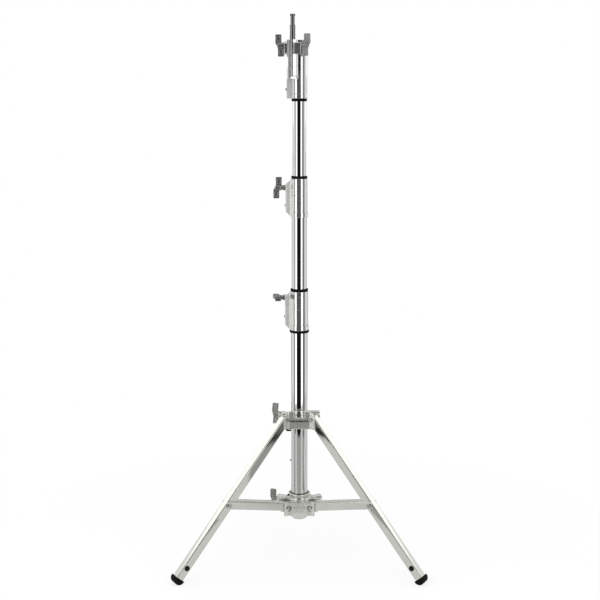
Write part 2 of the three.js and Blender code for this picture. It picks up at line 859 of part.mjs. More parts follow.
// A riser: its tube, and the bush on its lower end that steadies it in the tube outside.
function riser(name, radius, length, outsideRadius, topZ) {
  const spigot = radius - tubeWall - gap;
  const flange = outsideRadius - tubeWall - gap;
  const bush = turned([
    [bushBoreRadius, -gap - bushFlange],
    [flange, -gap - bushFlange],
    [flange, -gap],
    [spigot, -gap],
    [spigot, bushSpigot],
    [bushBoreRadius, bushSpigot],
    [bushBoreRadius, -gap - bushFlange],
  ]);
  const group = new THREE.Group();
  group.position.z = topZ - length;
  group.add(
    piece(`${name}_tube`, tube(radius, length), chrome()),
    piece(`${name}_bush`, bush, blackPlastic()),
  );
  return group;
}

// Head: a receiver in line with the column, with a slit sleeve for the sliding stud beside it
function headSolid() {
  const socket = riser2Radius + gap;
  const floorZ = headSocketDepth + headFloor;
  const screwZ = headHeight - headHandleDrop;
  const lugZ = headHeight - headLugDrop;
  const top = headHeight + overrun;
  const atSleeve = (shape) => shape.translate(sleeveAside, sleeveForward, 0);
  const body = turned([
    [0, 0],
    [headSkirtRadius, 0],
    [headSkirtRadius, headSkirtHeight],
    [headRadius, headSkirtHeight],
    [headRadius, headHeight],
    [0, headHeight],
  ]);
  const sleeve = atSleeve(rodZ(sleeveRadius, sleeveBottom, headHeight, pinSides));
  const receiverLug = screwLug(Math.PI, lugZ, receiverRadius, receiverLugReach);
  const sleeveLug = atSleeve(screwLug(sleeveLugAzimuth, lugZ, studRadius, sleeveLugReach));
  const heel = upright(
    outline([
      [-heelReach, 0],
      [-receiverRadius, 0],
      [-receiverRadius, heelHeight],
      [heelChamfer - heelReach, heelHeight],
      [-heelReach, heelHeight - heelChamfer],
    ]),
    -heelWidth / 2,
    heelWidth / 2,
  );
  const slot = upright(
    new THREE.Shape()
      .absarc(0, floorZ + receiverSlotHigh, receiverSlot / 2, 0, Math.PI, false)
      .absarc(0, floorZ + receiverSlotLow, receiverSlot / 2, Math.PI, 2 * Math.PI, false),
    -headSkirtRadius - overrun,
    -receiverRadius / 2,
  );
  const slit = block(
    [sleeveAside - sleeveSlit / 2, sleeveAside + sleeveSlit / 2],
    [sleeveForward - sleeveRadius - overrun, sleeveForward - studRadius / 2],
    [sleeveBottom + sleeveFloor, top],
  );
  return cut(
    join(body, sleeve, receiverLug, sleeveLug, heel),
    rodZ(socket, -overrun, headSocketDepth, roundSides),
    rodZ(receiverRadius, floorZ, top, roundSides),
    atSleeve(rodZ(studRadius + studPlay, sleeveBottom + sleeveFloor, top, pinSides)),
    slot,
    slit,
    screwBore(receiverLugReach, Math.PI, screwZ),
    atSleeve(screwBore(sleeveLugReach, sleeveLugAzimuth, screwZ)),
    capScrewBore(heelReach, heelScrewHeight),
  );
}

function head() {
  const group = new THREE.Group();
  const heelScrew = piece("head_heel_screw", capScrew(heelReach), blackPlastic());
  heelScrew.position.z = headZ + heelScrewHeight;
  const casting = piece("head_casting", headSolid(), chrome());
  casting.position.z = headZ;
  group.add(
    casting,
    heelScrew,
    rubberRing(
      "head_ring",
      riser2Radius + headRingWall,
      riser2Radius + gap,
      headZ - gap - headRingHeight,
      headZ - gap,
    ),
    handle("receiver_handle", {
      azimuth: Math.PI,
      z: handleZ,
      seat: receiverLugReach,
      tip: receiverRadius + gap,
      turn: receiverTurn,
      hub: handleStub,
    }),
    handle("stud_handle", {
      azimuth: sleeveLugAzimuth,
      x: sleeveAside,
      y: sleeveForward,
      z: handleZ,
      seat: sleeveLugReach,
      tip: studRadius + gap,
      turn: studTurn,
      hub: handleStub,
    }),
  );
  return group;
}

function stud() {
  const top = studRise;
  const neckTop = top - studFlange;
  const neckLow = neckTop - studNeck;
  const profile = [
    [0, top - studLength],
    [studRadius - studChamfer, top - studLength],
    [studRadius, top - studLength + studChamfer],
    [studRadius, neckLow - studChamfer * 2],
    [studNeckRadius, neckLow],
    [studNeckRadius, neckTop],
    [studRadius, neckTop],
    [studRadius, top - studChamfer],
    [studRadius - studChamfer, top],
    [0, top],
  ];
  const mesh = piece("sliding_stud", turned(profile, pinSides), chrome());
  mesh.position.set(sleeveAside, sleeveForward, headTopZ);
  return mesh;
}

// The stand is centred over its footprint, so its origin lies on the floor in the middle of its outline.
const stand = new THREE.Group();
stand.add(
  baseColumn(),
  lowerCasting(),
  upperCasting(),
  ...legAzimuths.map((_, index) => leg(index)),
  rubberRing(
    "collar_1_foot_ring",
    baseTubeRadius + footRingWall,
    baseTubeRadius + gap,
    collar1Z - gap - footRingHeight,
    collar1Z - gap,
  ),
  collar("collar_1", collar1, baseTubeRadius, riser1Radius, collar1Z),
  riser("riser_1", riser1Radius, riser1Length, baseTubeRadius, collar2Z + collarSocket - gap),
  collar("collar_2", collar2, riser1Radius, riser2Radius, collar2Z),
  riser("riser_2", riser2Radius, riser2Length, riser1Radius, headZ + headSocketDepth - gap),
  head(),
  stud(),
);
const footprint = new THREE.Box3().setFromObject(stand, true).getCenter(new THREE.Vector3());
stand.position.set(-footprint.x, -footprint.y, 0);

const comboStand = new THREE.Group();
comboStand.add(stand);

export default comboStand;
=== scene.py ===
"""Looks of a combo stand for film lights and grip gear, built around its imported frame."""

import json
import math

import bmesh
import bpy
from mathutils import Matrix, Vector


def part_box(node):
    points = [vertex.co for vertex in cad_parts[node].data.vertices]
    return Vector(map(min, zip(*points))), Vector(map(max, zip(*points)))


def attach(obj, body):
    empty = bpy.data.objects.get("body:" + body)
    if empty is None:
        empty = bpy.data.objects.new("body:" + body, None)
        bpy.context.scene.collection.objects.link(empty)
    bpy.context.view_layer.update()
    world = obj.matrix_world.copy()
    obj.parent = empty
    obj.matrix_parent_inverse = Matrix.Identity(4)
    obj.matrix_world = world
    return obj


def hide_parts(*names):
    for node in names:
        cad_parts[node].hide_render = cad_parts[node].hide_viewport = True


bl_info = {
    "name": "Combo stand",
    "version": (1, 0, 0),
    "blender": (4, 5, 0),
    "location": "View3D > Sidebar > Combo stand",
    "description": "Builds the looks of a combo stand around its frame",
    "category": "Add Mesh",
}

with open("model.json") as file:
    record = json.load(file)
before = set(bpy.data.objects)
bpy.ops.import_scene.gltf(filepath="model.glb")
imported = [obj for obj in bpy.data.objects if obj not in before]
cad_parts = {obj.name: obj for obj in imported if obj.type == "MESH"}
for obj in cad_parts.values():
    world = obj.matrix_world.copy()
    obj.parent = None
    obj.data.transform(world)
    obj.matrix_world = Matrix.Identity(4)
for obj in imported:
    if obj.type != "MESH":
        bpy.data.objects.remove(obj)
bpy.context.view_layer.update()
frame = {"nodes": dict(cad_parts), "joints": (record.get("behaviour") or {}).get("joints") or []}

MM = 0.001
LEGS = ("leg_1", "leg_2", "leg_3")
BRACES = ("brace_1", "brace_2", "brace_3")
# Sizes in millimetres
GAP = 0.3  # clearance between pieces that touch
COLUMN_BORE = 25.3  # radius of what the 50 mm column runs in
RECEIVER = 14.3  # radius of the head's receiver
SCREW_BORE = 5.3  # radius of a clamping screw's bore
CAP_BORE = 2.8  # radius of a cap screw's bore
LEG_HALF = 12.5  # half a square leg
FOOT_REACH = 557  # from a leg's upper pivot to its foot's centre
FOOT_PIN_RISE = 38  # from the foot's centre up to the foot's pin
FINE = 144  # sides of the widest turned pieces
# The spiders' pods: half a leg's slot, the ear beside it, and how far the plate is from the axis
LOWER_PODS = {"slot": 15.3, "ear": 4.2, "plate": 43.5}
UPPER_PODS = {"slot": 12.9, "ear": 4.5, "plate": 37.5}
# The body of each T-handle, its turn in degrees, and its hub's length
HANDLES = {
    "lower_handle": ("lower_screw", 0.0, 4.0),
    "upper_handle": ("upper_screw", 12.0, 14.0),
    "collar_1_handle": ("collar_1_screw", 86.0, 14.0),
    "collar_2_handle": ("collar_2_screw", 180.0, 14.0),
    "receiver_handle": ("receiver_screw", 0.0, 4.0),
    "stud_handle": ("stud_screw", 0.0, 4.0),
}


# Places and sizes read from the frame
def joint(name):
    """The joint of that name."""
    return next(entry for entry in frame["joints"] if entry["name"] == name)


def joint_place(name):
    """Where a joint turns, in metres."""
    return Vector(joint(name)["pos_m"])


def middle(node):
    """The middle of a node's box."""
    low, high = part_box(node)
    return (low + high) / 2


def span(node):
    """The sides of a node's box, in millimetres."""
    low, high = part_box(node)
    return (high - low) / MM


def heights(node):
    """The lowest and highest point of a node, in metres."""
    low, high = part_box(node)
    return low.z, high.z


def round_size(node):
    """The foot of a round upright node in metres, and its radius and height in millimetres."""
    low, high = heights(node)
    return low, span(node).x / 2, (high - low) / MM


AXIS = middle("base_column_tube").xy.to_3d()
PIVOT_RADIUS = (joint_place("leg_fold") - AXIS).xy.length / MM
LOWER_PIVOT_Z = joint_place("leg_fold").z
UPPER_PIVOT_Z = joint_place("upper_screw_turn").z
BRACE_PIVOT = joint_place("leg_3_hinge")
BRACE_RISE = BRACE_PIVOT.z - LOWER_PIVOT_Z
BRACE_REACH = (BRACE_PIVOT - AXIS).xy.length - PIVOT_RADIUS * MM
BRACE_ANGLE = math.atan2(BRACE_RISE, BRACE_REACH)
BRACE_LENGTH = math.hypot(BRACE_RISE, BRACE_REACH) / MM
LEG_DROP = UPPER_PIVOT_Z - BRACE_PIVOT.z
LEG_TILT = math.atan2(BRACE_REACH, LEG_DROP)
LEG_SPAN = math.hypot(BRACE_REACH, LEG_DROP) / MM
LEG_AZIMUTHS = [math.radians(210), math.radians(330), math.radians(90)]
POD_AZIMUTHS = [azimuth + math.radians(60) for azimuth in LEG_AZIMUTHS]


def linear(code):
    """A colour written as sRGB hex, as linear RGB."""
    channels = [int(code[i : i + 2], 16) / 255 for i in (1, 3, 5)]
    return [c / 12.92 if c <= 0.04045 else ((c + 0.055) / 1.055) ** 2.4 for c in channels]


def length(name, description, value):
    """A size that a user can change, given in millimetres."""
    return bpy.props.FloatProperty(
        name=name,
        description=description,
        default=value * MM,
        min=0,
        precision=5,
        subtype="DISTANCE",
        unit="LENGTH",
    )


def colour(name, description, code):
    """A colour that a user can change."""
    return bpy.props.FloatVectorProperty(
        name=name, description=description, default=linear(code), min=0, max=1, size=3, subtype="COLOR"
    )


class STAND_PG_colours(bpy.types.PropertyGroup):
    """Colours of the stand's finishes."""

    chrome: colour("Chrome", "Bright chrome plating of the tubes, collars and head", "#D4D4D3")
    legs: colour("Legs", "Bright chrome plating of the square legs", "#D6D7D0")
    satin: colour("Satin chrome", "Satin plating of the braces", "#D6D7D0")
    alloy: colour("Cast alloy", "Tumbled casting of the spiders", "#D9D9D3")
    steel: colour("Oiled steel", "Turned steel of the stud", "#7E7E81")
    grey: colour("Grey casting", "Plated casting of the T-handles", "#8C8C8A")
    zinc: colour("Zinc", "Plating of bolts and screws", "#BFC0BE")
    rubber: colour("Rubber", "Moulded rubber of the feet and rings", "#0A0A0B")
    nylon: colour("Nylon", "Moulded nylon of the pins, pads and bushes", "#0C0C0D")


class STAND_PG_column(bpy.types.PropertyGroup):
    """Sizes of the tubes and the small pieces on them."""

    wall: length("Tube wall", "Wall of the column's tubes", 2)
    rim: length("Rim", "Rounding of a tube's cut ends", 0.5)
    lip: length("Lip", "Rounding of turned edges", 0.6)
    lug_cell: length("Lug cell", "Cell of the mesh of a collar's lug", 0.8)
    notch: length("Notch", "Width of the notches in the lower casting's bush", 3.2)
    notches: bpy.props.IntProperty(name="Notches", description="Notches in the bush", default=14, min=3)


class STAND_PG_linkage(bpy.types.PropertyGroup):
    """Sizes of the legs, braces, feet and their bolts."""

    leg_wall: length("Leg wall", "Wall of the square legs", 2)
    leg_corner: length("Leg corner", "Outer corner of the square legs", 2.8)
    brace_wall: length("Brace wall", "Sheet of the braces", 2)
    brace_top: length("Brace top", "Web above the brace's pivots", 14.8)
    brace_drop: length("Brace drop", "Flanges below the brace's pivots", 10)
    brace_bend: length("Brace bend", "Outer radius of the brace's bends", 3)
    web_stop: length("Web stop", "Where the web ends before the outer pivot", 24)
    bolt: length("Bolt", "Radius of the linkage's bolts", 4)
    head: length("Bolt head", "Radius of the casting bolts' heads", 6.5)


class STAND_PG_castings(bpy.types.PropertyGroup):
    """Sizes of the two spider castings."""

    cell: length("Cell", "Cell of the mesh of a casting", 0.95)
    rounds: bpy.props.IntProperty(name="Softening", description="Smoothing of cast edges", default=5, min=0)
    plate_wall: length("Plate", "Thickness of the pods' plates", 4)
    hub: length("Hub", "Radius of the hub around the column", 31)
    boss: length("Boss", "Radius of the bosses of the clamping screws", 9.5)
    pocket: length("Pocket", "Radius of the bolts' pockets", 8.2)
    upper_pocket: length("Upper pocket", "Radius of the pockets round the upper pivot screws", 7)
    lug_height: length("Lug height", "Height of the lugs of the clamping screws", 38)


class STAND_PG_handles(bpy.types.PropertyGroup):
    """Sizes of the T-handles."""

    hub: length("Hub", "Radius of the hub's flange", 8.5)
    neck: length("Neck", "Radius of the hub's neck", 6.8)
    wing_span: length("Wing span", "Wing from tip to tip", 62)
    wing_width: length("Wing width", "Width of each of the wing's lobes", 17.5)
    wing_depth: length("Wing depth", "Thickness of the wing", 9)
    wing_offset: length("Wing offset", "How far the lobes stand out and in along the screw", 3.6)
    wing_step: length("Wing step", "Half the height over which one lobe passes to the other", 6)
    cell: length("Cell", "Cell of the mesh of a handle", 0.6)


class STAND_PG_stage(bpy.types.PropertyGroup):
    """Studio around the stand."""

    floor: bpy.props.FloatProperty(name="Floor", description="Side of the floor", default=14, unit="LENGTH")
    daylight: bpy.props.FloatProperty(name="Daylight", description="Its brightness", default=1)
    softbox_left: bpy.props.FloatProperty(name="Left softbox", description="Its brightness", default=1.1)
    softbox_right: bpy.props.FloatProperty(name="Right softbox", description="Its brightness", default=1.35)


# Outlines and meshes
def filleted(points, closed=True, steps=4):
    """An outline with rounded corners. Each point is x, y and the radius of its corner."""
    rounded = []
    for i, (x, y, radius) in enumerate(points):
        corner = Vector((x, y))
        back = Vector(points[i - 1][:2]) - corner
        ahead = Vector(points[(i + 1) % len(points)][:2]) - corner
        if radius == 0 or (not closed and i in (0, len(points) - 1)):
            rounded.append(corner)
            continue
        half = back.angle(ahead) / 2
        reach = min(radius / math.tan(half), back.length / 2, ahead.length / 2)
        fitted = reach * math.tan(half)
        back.normalize()
        ahead.normalize()
        centre = corner + (back + ahead).normalized() * fitted / math.sin(half)
        start = corner + back * reach - centre
        end = corner + ahead * reach - centre
        rounded += [centre + start.lerp(end, k / steps).normalized() * fitted for k in range(steps + 1)]
    return rounded


def rectangle(x, y, fillet=0.0):
    """A rectangle about the origin, from its half sides."""
    return [(-x, -y, fillet), (x, -y, fillet), (x, y, fillet), (-x, y, fillet)]


def hexagon(radius, fillet=0.0):
    """A hexagon about the origin, from its corners' radius."""
    angles = [k * math.pi / 3 for k in range(6)]
    return [(radius * math.cos(angle), radius * math.sin(angle), fillet) for angle in angles]


def half_round(radius, x=0.0, y=0.0, start=0.0, steps=24):
    """Half a circle about a point, from a start angle on."""
    angles = [start + math.pi * k / steps for k in range(steps + 1)]
    return [(x + radius * math.cos(angle), y + radius * math.sin(angle), 0) for angle in angles]


def mesh_of(bm):
    """A closed mesh with its faces turned outwards."""
    bmesh.ops.remove_doubles(bm, verts=bm.verts, dist=0.001 * MM)
    bmesh.ops.recalc_face_normals(bm, faces=bm.faces)
    mesh = bpy.data.meshes.new("work")
    bm.to_mesh(mesh)
    bm.free()
    return mesh


def turned(profile, steps=96):
    """A mesh turned about Z from a profile of radius, height and fillet in millimetres."""
    hollow = profile[0][0] > 0
    line = filleted(profile, closed=hollow)
    bm = bmesh.new()
    rings = []
    for radius, height in line:
        if radius == 0:
            rings.append([bm.verts.new((0, 0, height * MM))])
            continue
        turns = [2 * math.pi * k / steps for k in range(steps)]
        spots = [(radius * math.cos(t) * MM, radius * math.sin(t) * MM, height * MM) for t in turns]
        rings.append([bm.verts.new(spot) for spot in spots])
    pairs = list(zip(rings, rings[1:]))
    if hollow:
        pairs.append((rings[-1], rings[0]))
    for low, high in pairs:
        for k in range(steps):
            after = k + 1
            ends = [low[k % len(low)], low[after % len(low)], high[after % len(high)], high[k % len(high)]]
            corners = list(dict.fromkeys(ends))
            if len(corners) > 2:
                bm.faces.new(corners)
    return mesh_of(bm)


def prism(outline, low, high, edge=0.0, steps=4):
    """An outline of x, y and fillet, raised along Z, with its rims rounded, in millimetres."""
    bm = bmesh.new()
    foot = [bm.verts.new((x * MM, y * MM, low * MM)) for x, y in filleted(outline, steps=steps)]
    bm.faces.new(foot)
    bmesh.ops.remove_doubles(bm, verts=bm.verts, dist=0.001 * MM)
    raised = bmesh.ops.extrude_face_region(bm, geom=list(bm.faces))
    tops = [item for item in raised["geom"] if isinstance(item, bmesh.types.BMVert)]
    bmesh.ops.translate(bm, verts=tops, vec=(0, 0, (high - low) * MM))
    bmesh.ops.recalc_face_normals(bm, faces=bm.faces)
    if edge:
        rims = [e for e in bm.edges if abs(e.verts[0].co.z - e.verts[1].co.z) < 0.01 * MM]
        bmesh.ops.bevel(bm, geom=rims, offset=edge * MM, segments=3, profile=0.5, affect="EDGES",
                        clamp_overlap=True)
    return mesh_of(bm)


def upright(outline, low, high, edge=0.0, steps=4):
    """An outline drawn in X and Z, with its thickness along Y from low to high."""
    mesh = prism(outline, -high, -low, edge, steps)
    mesh.transform(Matrix.Rotation(math.pi / 2, 4, "X"))
    return mesh


def laid(mesh, axis):
    """A mesh with its Z axis turned to another one."""
    if axis == "X":
        mesh.transform(Matrix.Rotation(math.pi / 2, 4, "Y"))
    if axis == "Y":
        mesh.transform(Matrix.Rotation(-math.pi / 2, 4, "X"))
    return mesh


def rod(radius, low, high, along="Z", steps=48, edge=0.0):
    """A round rod about an axis, in millimetres."""
    return laid(turned([(0, low, 0), (radius, low, edge), (radius, high, edge), (0, high, 0)], steps), along)


def moved(mesh, x=0.0, y=0.0, z=0.0, azimuth=0.0):
    """A mesh moved in millimetres, then turned about Z."""
    shift = Matrix.Translation((x * MM, y * MM, z * MM))
    mesh.transform(Matrix.Rotation(azimuth, 4, "Z") @ shift)
    return mesh


def evaluated(work):
    """The mesh of an object with its modifiers applied. The object goes."""
    graph = bpy.context.evaluated_depsgraph_get()
    graph.update()
    mesh = bpy.data.meshes.new_from_object(work.evaluated_get(graph))
    bpy.data.objects.remove(work)
    return mesh


def linked(name, data):
    """A new object with that data, in the scene."""
    obj = bpy.data.objects.new(name, data)
    bpy.context.scene.collection.objects.link(obj)
    return obj


def combined(mesh, tools, operation):
    """A mesh with others joined to it, cut from it, or kept in common with it."""
    work = linked("work", mesh)
    others = [linked("work", tool) for tool in tools]
    for other in others:
        modifier = work.modifiers.new("combine", "BOOLEAN")
        modifier.operation = operation
        modifier.solver = "EXACT"
        modifier.object = other
    result = evaluated(work)
    for other in others:
        bpy.data.objects.remove(other)
    return result


def joined(mesh, *tools):
    """The union of meshes."""
    return combined(mesh, tools, "UNION")


def cut(mesh, *tools):
    """A mesh with tools cut out of it."""
    return combined(mesh, tools, "DIFFERENCE")


def common(mesh, *tools):
    """What meshes have in common."""
    return combined(mesh, tools, "INTERSECT")


def cast(mesh, cell, rounds):
    """A mesh with the soft edges of a casting."""
    work = linked("work", mesh)
    remesh = work.modifiers.new("cells", "REMESH")
    remesh.mode = "VOXEL"
    remesh.voxel_size = cell
    smooth = work.modifiers.new("soften", "SMOOTH")
    smooth.factor = 0.5
    smooth.iterations = rounds
    return evaluated(work)


def piece(name, mesh, finish, body, nodes, place=Matrix.Identity(4), crease=40, slot=None, **marks):
    """A finished piece: put in place, shaded, given its finish, and riding on its body. A mark is a test of
    a face's middle in the piece's own coordinates, kept on the faces as 1 or 0 for the finish."""
    local = [0.0] * (3 * len(mesh.vertices))
    mesh.vertices.foreach_get("co", local)
    for attribute in [a for a in mesh.attributes if a.name == "local"]:
        mesh.attributes.remove(attribute)
    mesh.attributes.new("local", "FLOAT_VECTOR", "POINT").data.foreach_set("vector", local)
    for mark, test in marks.items():
        shares = [float(test(face.center)) for face in mesh.polygons]
        mesh.attributes.new(mark, "FLOAT", "FACE").data.foreach_set("value", shares)
    mesh.transform(place)
    mesh.shade_smooth()
    mesh.set_sharp_from_angle(angle=math.radians(crease))
    mesh.materials.clear()
    mesh.materials.append(finish_of(finish))
    mesh.name = name
    obj = linked(name, mesh)
    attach(obj, body)
    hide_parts(*nodes)


def at(origin, azimuth=0.0, lean=0.0, turn=0.0):
    """A place in metres, turned about Z, leaned about its own Y, and turned about its own X."""
    turns = Matrix.Rotation(azimuth, 4, "Z") @ Matrix.Rotation(lean, 4, "Y") @ Matrix.Rotation(turn, 4, "X")
    return Matrix.Translation(origin) @ turns


def on_axis(z):
    """A place on the column's axis at a height in metres."""
    return at((AXIS.x, AXIS.y, z))


def on_pivot(azimuth, z, lean):
    """A place on a spider's pivot at a height in metres, leaned about the pivot."""
    spot = AXIS + Vector((math.cos(azimuth), math.sin(azimuth), 0)) * PIVOT_RADIUS * MM
    return at((spot.x, spot.y, z), azimuth, lean)


def left_end(node):
    """The place of a node that lies along X, at its left end."""
    spot = middle(node)
    return at((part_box(node)[0].x, spot.y, spot.z))


def foot_of(node):
    """The place of an upright node, at the middle of its foot."""
    spot = middle(node)
    return at((spot.x, spot.y, heights(node)[0]))


# Node trees
def add_node(tree, kind, links=None, **settings):
    """Adds a node with its settings. Links maps an input's name or number to a value or a node's output."""
    node = tree.nodes.new(kind)
    for key, value in settings.items():
        setattr(node, key, value)
    for key, value in (links or {}).items():
        if isinstance(value, bpy.types.NodeSocket):
            tree.links.new(value, node.inputs[key])
        else:
            node.inputs[key].default_value = value
    return node


def ring_of_copies():
    """A tree that sets copies of a mesh round the Z axis and puts them at a place."""
    tree = bpy.data.node_groups.new("ring_of_copies", "GeometryNodeTree")
    inputs = {
        "Geometry": "Geometry",
        "Count": "Int",
        "Start": "Float",
        "Place": "Vector",
        "Material": "Material",
    }
    for name, kind in inputs.items():
        tree.interface.new_socket(name, in_out="INPUT", socket_type="NodeSocket" + kind)
    tree.interface.new_socket("Geometry", in_out="OUTPUT", socket_type="NodeSocketGeometry")
    entry = add_node(tree, "NodeGroupInput").outputs
    points = add_node(tree, "GeometryNodePoints", {"Count": entry["Count"]})
    number = add_node(tree, "GeometryNodeInputIndex")
    share = add_node(tree, "ShaderNodeMath", {0: math.tau, 1: entry["Count"]}, operation="DIVIDE")
    steps = {0: number.outputs[0], 1: share.outputs[0], 2: entry["Start"]}
    turn = add_node(tree, "ShaderNodeMath", steps, operation="MULTIPLY_ADD")
    turns = add_node(tree, "ShaderNodeCombineXYZ", {"Z": turn.outputs[0]})
    links = {"Points": points.outputs[0], "Instance": entry["Geometry"], "Rotation": turns.outputs[0]}
    spread = add_node(tree, "GeometryNodeInstanceOnPoints", links)
    links = {"Geometry": spread.outputs[0], "Translation": entry["Place"]}
    placed = add_node(tree, "GeometryNodeTransform", links)
    real = add_node(tree, "GeometryNodeRealizeInstances", {"Geometry": placed.outputs[0]})
    links = {"Geometry": real.outputs[0], "Material": entry["Material"]}
    finish = add_node(tree, "GeometryNodeSetMaterial", links)
    add_node(tree, "NodeGroupOutput", {0: finish.outputs[0]})
    return tree


def copies(mesh, count, start, place, finish):
    """Copies of a mesh round the Z axis, moved to a place, as one mesh with a finish."""
    work = linked("work", mesh)
    modifier = work.modifiers.new("ring", "NODES")
    modifier.node_group = bpy.data.node_groups.get("ring_of_copies") or ring_of_copies()
    values = {"Count": count, "Start": start, "Place": place, "Material": finish_of(finish)}
    for item in modifier.node_group.interface.items_tree:
        if item.in_out == "INPUT" and item.name in values:
            modifier[item.identifier] = values[item.name]
    return evaluated(work)


# Finishes
def emptied(owner):
    """The node tree of a material or world, without nodes."""
    owner.use_nodes = True
    owner.node_tree.nodes.clear()
    return owner.node_tree


def new_material(name):
    """A material with its shader and output."""
    material = bpy.data.materials.new(name)
    tree = emptied(material)
    shader = add_node(tree, "ShaderNodeBsdfPrincipled")
    add_node(tree, "ShaderNodeOutputMaterial", {"Surface": shader.outputs[0]})
    return material, tree, shader


def pattern(tree, source, scale, detail=2.0, stretch=(1, 1, 1)):
    """Noise with cells of about 1/scale metres on a coordinate, drawn out along its axes by the stretch."""
    mapping = add_node(tree, "ShaderNodeMapping", {"Vector": source, "Scale": stretch})
    links = {"Vector": mapping.outputs[0], "Scale": scale, "Detail": detail, "Roughness": 0.5}
    return add_node(tree, "ShaderNodeTexNoise", links).outputs["Fac"]


def ranged(tree, value, low, high, start=0.3, end=0.7):
    """A value brought from start..end to low..high."""
    links = {"Value": value, "From Min": start, "From Max": end, "To Min": low, "To Max": high}
    return add_node(tree, "ShaderNodeMapRange", links).outputs["Result"]


def tinted(tree, factor, plain, shade):
    """A colour that falls to a share of itself where the factor is 1."""
    links = {0: factor, 6: [*plain, 1], 7: [c * shade for c in plain] + [1]}
    return add_node(tree, "ShaderNodeMix", links, data_type="RGBA", blend_type="MIX").outputs[2]


def relief(tree, shader, layers):
    """Bumps, each a height, its depth in millimetres and its strength, one on the other."""
    normal = None
    for height, depth, strength in layers:
        links = {"Height": height, "Distance": depth * MM, "Strength": strength}
        if normal:
            links["Normal"] = normal
        normal = add_node(tree, "ShaderNodeBump", links).outputs[0]
    tree.links.new(normal, shader.inputs["Normal"])


def own_coordinates(tree):
    """A piece's own coordinates: Z runs along the tube, bolt or leg that it is, and X along a brace."""
    return add_node(tree, "ShaderNodeAttribute", attribute_name="local").outputs["Vector"]


def object_coordinates(tree):
    """The stand's coordinates."""
    return add_node(tree, "ShaderNodeTexCoord").outputs["Object"]


def face_mark(tree, name):
    """1 on the faces of a piece that carry the mark, 0 on its other faces."""
    return add_node(tree, "ShaderNodeAttribute", attribute_name=name).outputs["Fac"]


def dress(tree, shader, film, plain, shade, rough, layers, metallic=1.0, marked=None, fade=(0, 1)):
    """Sets a shader. As the film thickens, the colour falls to a share of itself and the roughness runs over
    its range. Marked faces have a mark, a metallic share and a roughness of their own."""
    tree.links.new(tinted(tree, ranged(tree, film, *fade), plain, shade), shader.inputs["Base Color"])
    gloss = ranged(tree, rough[0], *rough[1:])
    if marked:
        mark, share, flat = marked
        for key, usual, other in (("Metallic", metallic, share), ("Roughness", gloss, flat)):
            mix = add_node(tree, "ShaderNodeMix", {0: mark, 2: usual, 3: other}, data_type="FLOAT")
            tree.links.new(mix.outputs[0], shader.inputs[key])
    else:
        shader.inputs["Metallic"].default_value = metallic
        tree.links.new(gloss, shader.inputs["Roughness"])
    relief(tree, shader, layers)


def chrome_plated_tube(colours):
    """Drawn steel tube with bright chrome plating: a near mirror, with faint lines along the draw and
    thin rub marks round it where the collars slide. Both are drawn coarser than real."""
    material, tree, shader = new_material("chrome_plated_steel_tube")
    own = own_coordinates(tree)
    lines = pattern(tree, own, 900, 3, (1, 1, 0.01))
    rubs = pattern(tree, own, 60, 4, (0.05, 0.05, 8))
    film = pattern(tree, own, 35, 3)
    shader.inputs["Base Color"].default_value = (*colours.chrome, 1)
    shader.inputs["Metallic"].default_value = 1
    tree.links.new(ranged(tree, film, 0.03, 0.065), shader.inputs["Roughness"])
    relief(tree, shader, [(lines, 0.002, 0.12), (rubs, 0.002, 0.08)])
    return material


def chrome_plated_square_tube(colours):
    """Square steel tube with bright chrome plating, on the legs: a mirror, with faint lines along the draw,
    drawn coarser than real."""
    material, tree, shader = new_material("chrome_plated_square_tube")
    own = own_coordinates(tree)
    lines = pattern(tree, own, 700, 2, (1, 1, 0.01))
    film = pattern(tree, own, 25, 4)
    dress(tree, shader, film, colours.legs, 0.95, (film, 0.04, 0.09), [(lines, 0.002, 0.12)])
    return material


def chrome_plated_casting(colours):
    """Ground and chrome plated casting, on the collars and the head: bright, with the haze of plating over
    a polished casting, and a dull cast skin on the lugs, which are plated without being ground."""
    material, tree, shader = new_material("chrome_plated_casting")
    place = object_coordinates(tree)
    peel = pattern(tree, place, 420, 2)
    film = pattern(tree, place, 45, 3)
    dress(tree, shader, film, colours.chrome, 0.95, (film, 0.07, 0.12), [(peel, 0.003, 0.1)], metallic=0.9,
          marked=(face_mark(tree, "as_cast"), 0.6, 0.45))
    return material


def satin_chrome_steel(colours):
    """Bent sheet with satin chrome plating, on the braces: a soft mirror, brushed along the piece. The
    brush lines are about 0.1 mm apart in the metal, drawn coarser so that they show."""
    material, tree, shader = new_material("satin_chrome_steel")
    own = own_coordinates(tree)
    brush = pattern(tree, own, 1500, 2, (0.01, 1, 1))
    film = pattern(tree, own, 25, 4)
    dress(tree, shader, film, colours.satin, 0.93, (film, 0.2, 0.28), [(brush, 0.008, 0.3)])
    return material


def tumbled_alloy(colours):
    """Aluminium die casting, tumbled bright: a sparkling, dimpled satin, with a machined round middle and
    strip on the upper plate. The dimples are about 1 mm in the metal, drawn coarser so that they show."""
    material, tree, shader = new_material("tumbled_aluminium_casting")
    place = object_coordinates(tree)
    dimples = pattern(tree, place, 480, 3)
    swell = pattern(tree, place, 220, 2)
    layers = [(swell, 0.6, 0.6), (dimples, 0.08, 0.5)]
    dress(tree, shader, swell, colours.alloy, 0.9, (dimples, 0.2, 0.32), layers,
          metallic=0.82, marked=(face_mark(tree, "polished"), 0.95, 0.1))
    return material


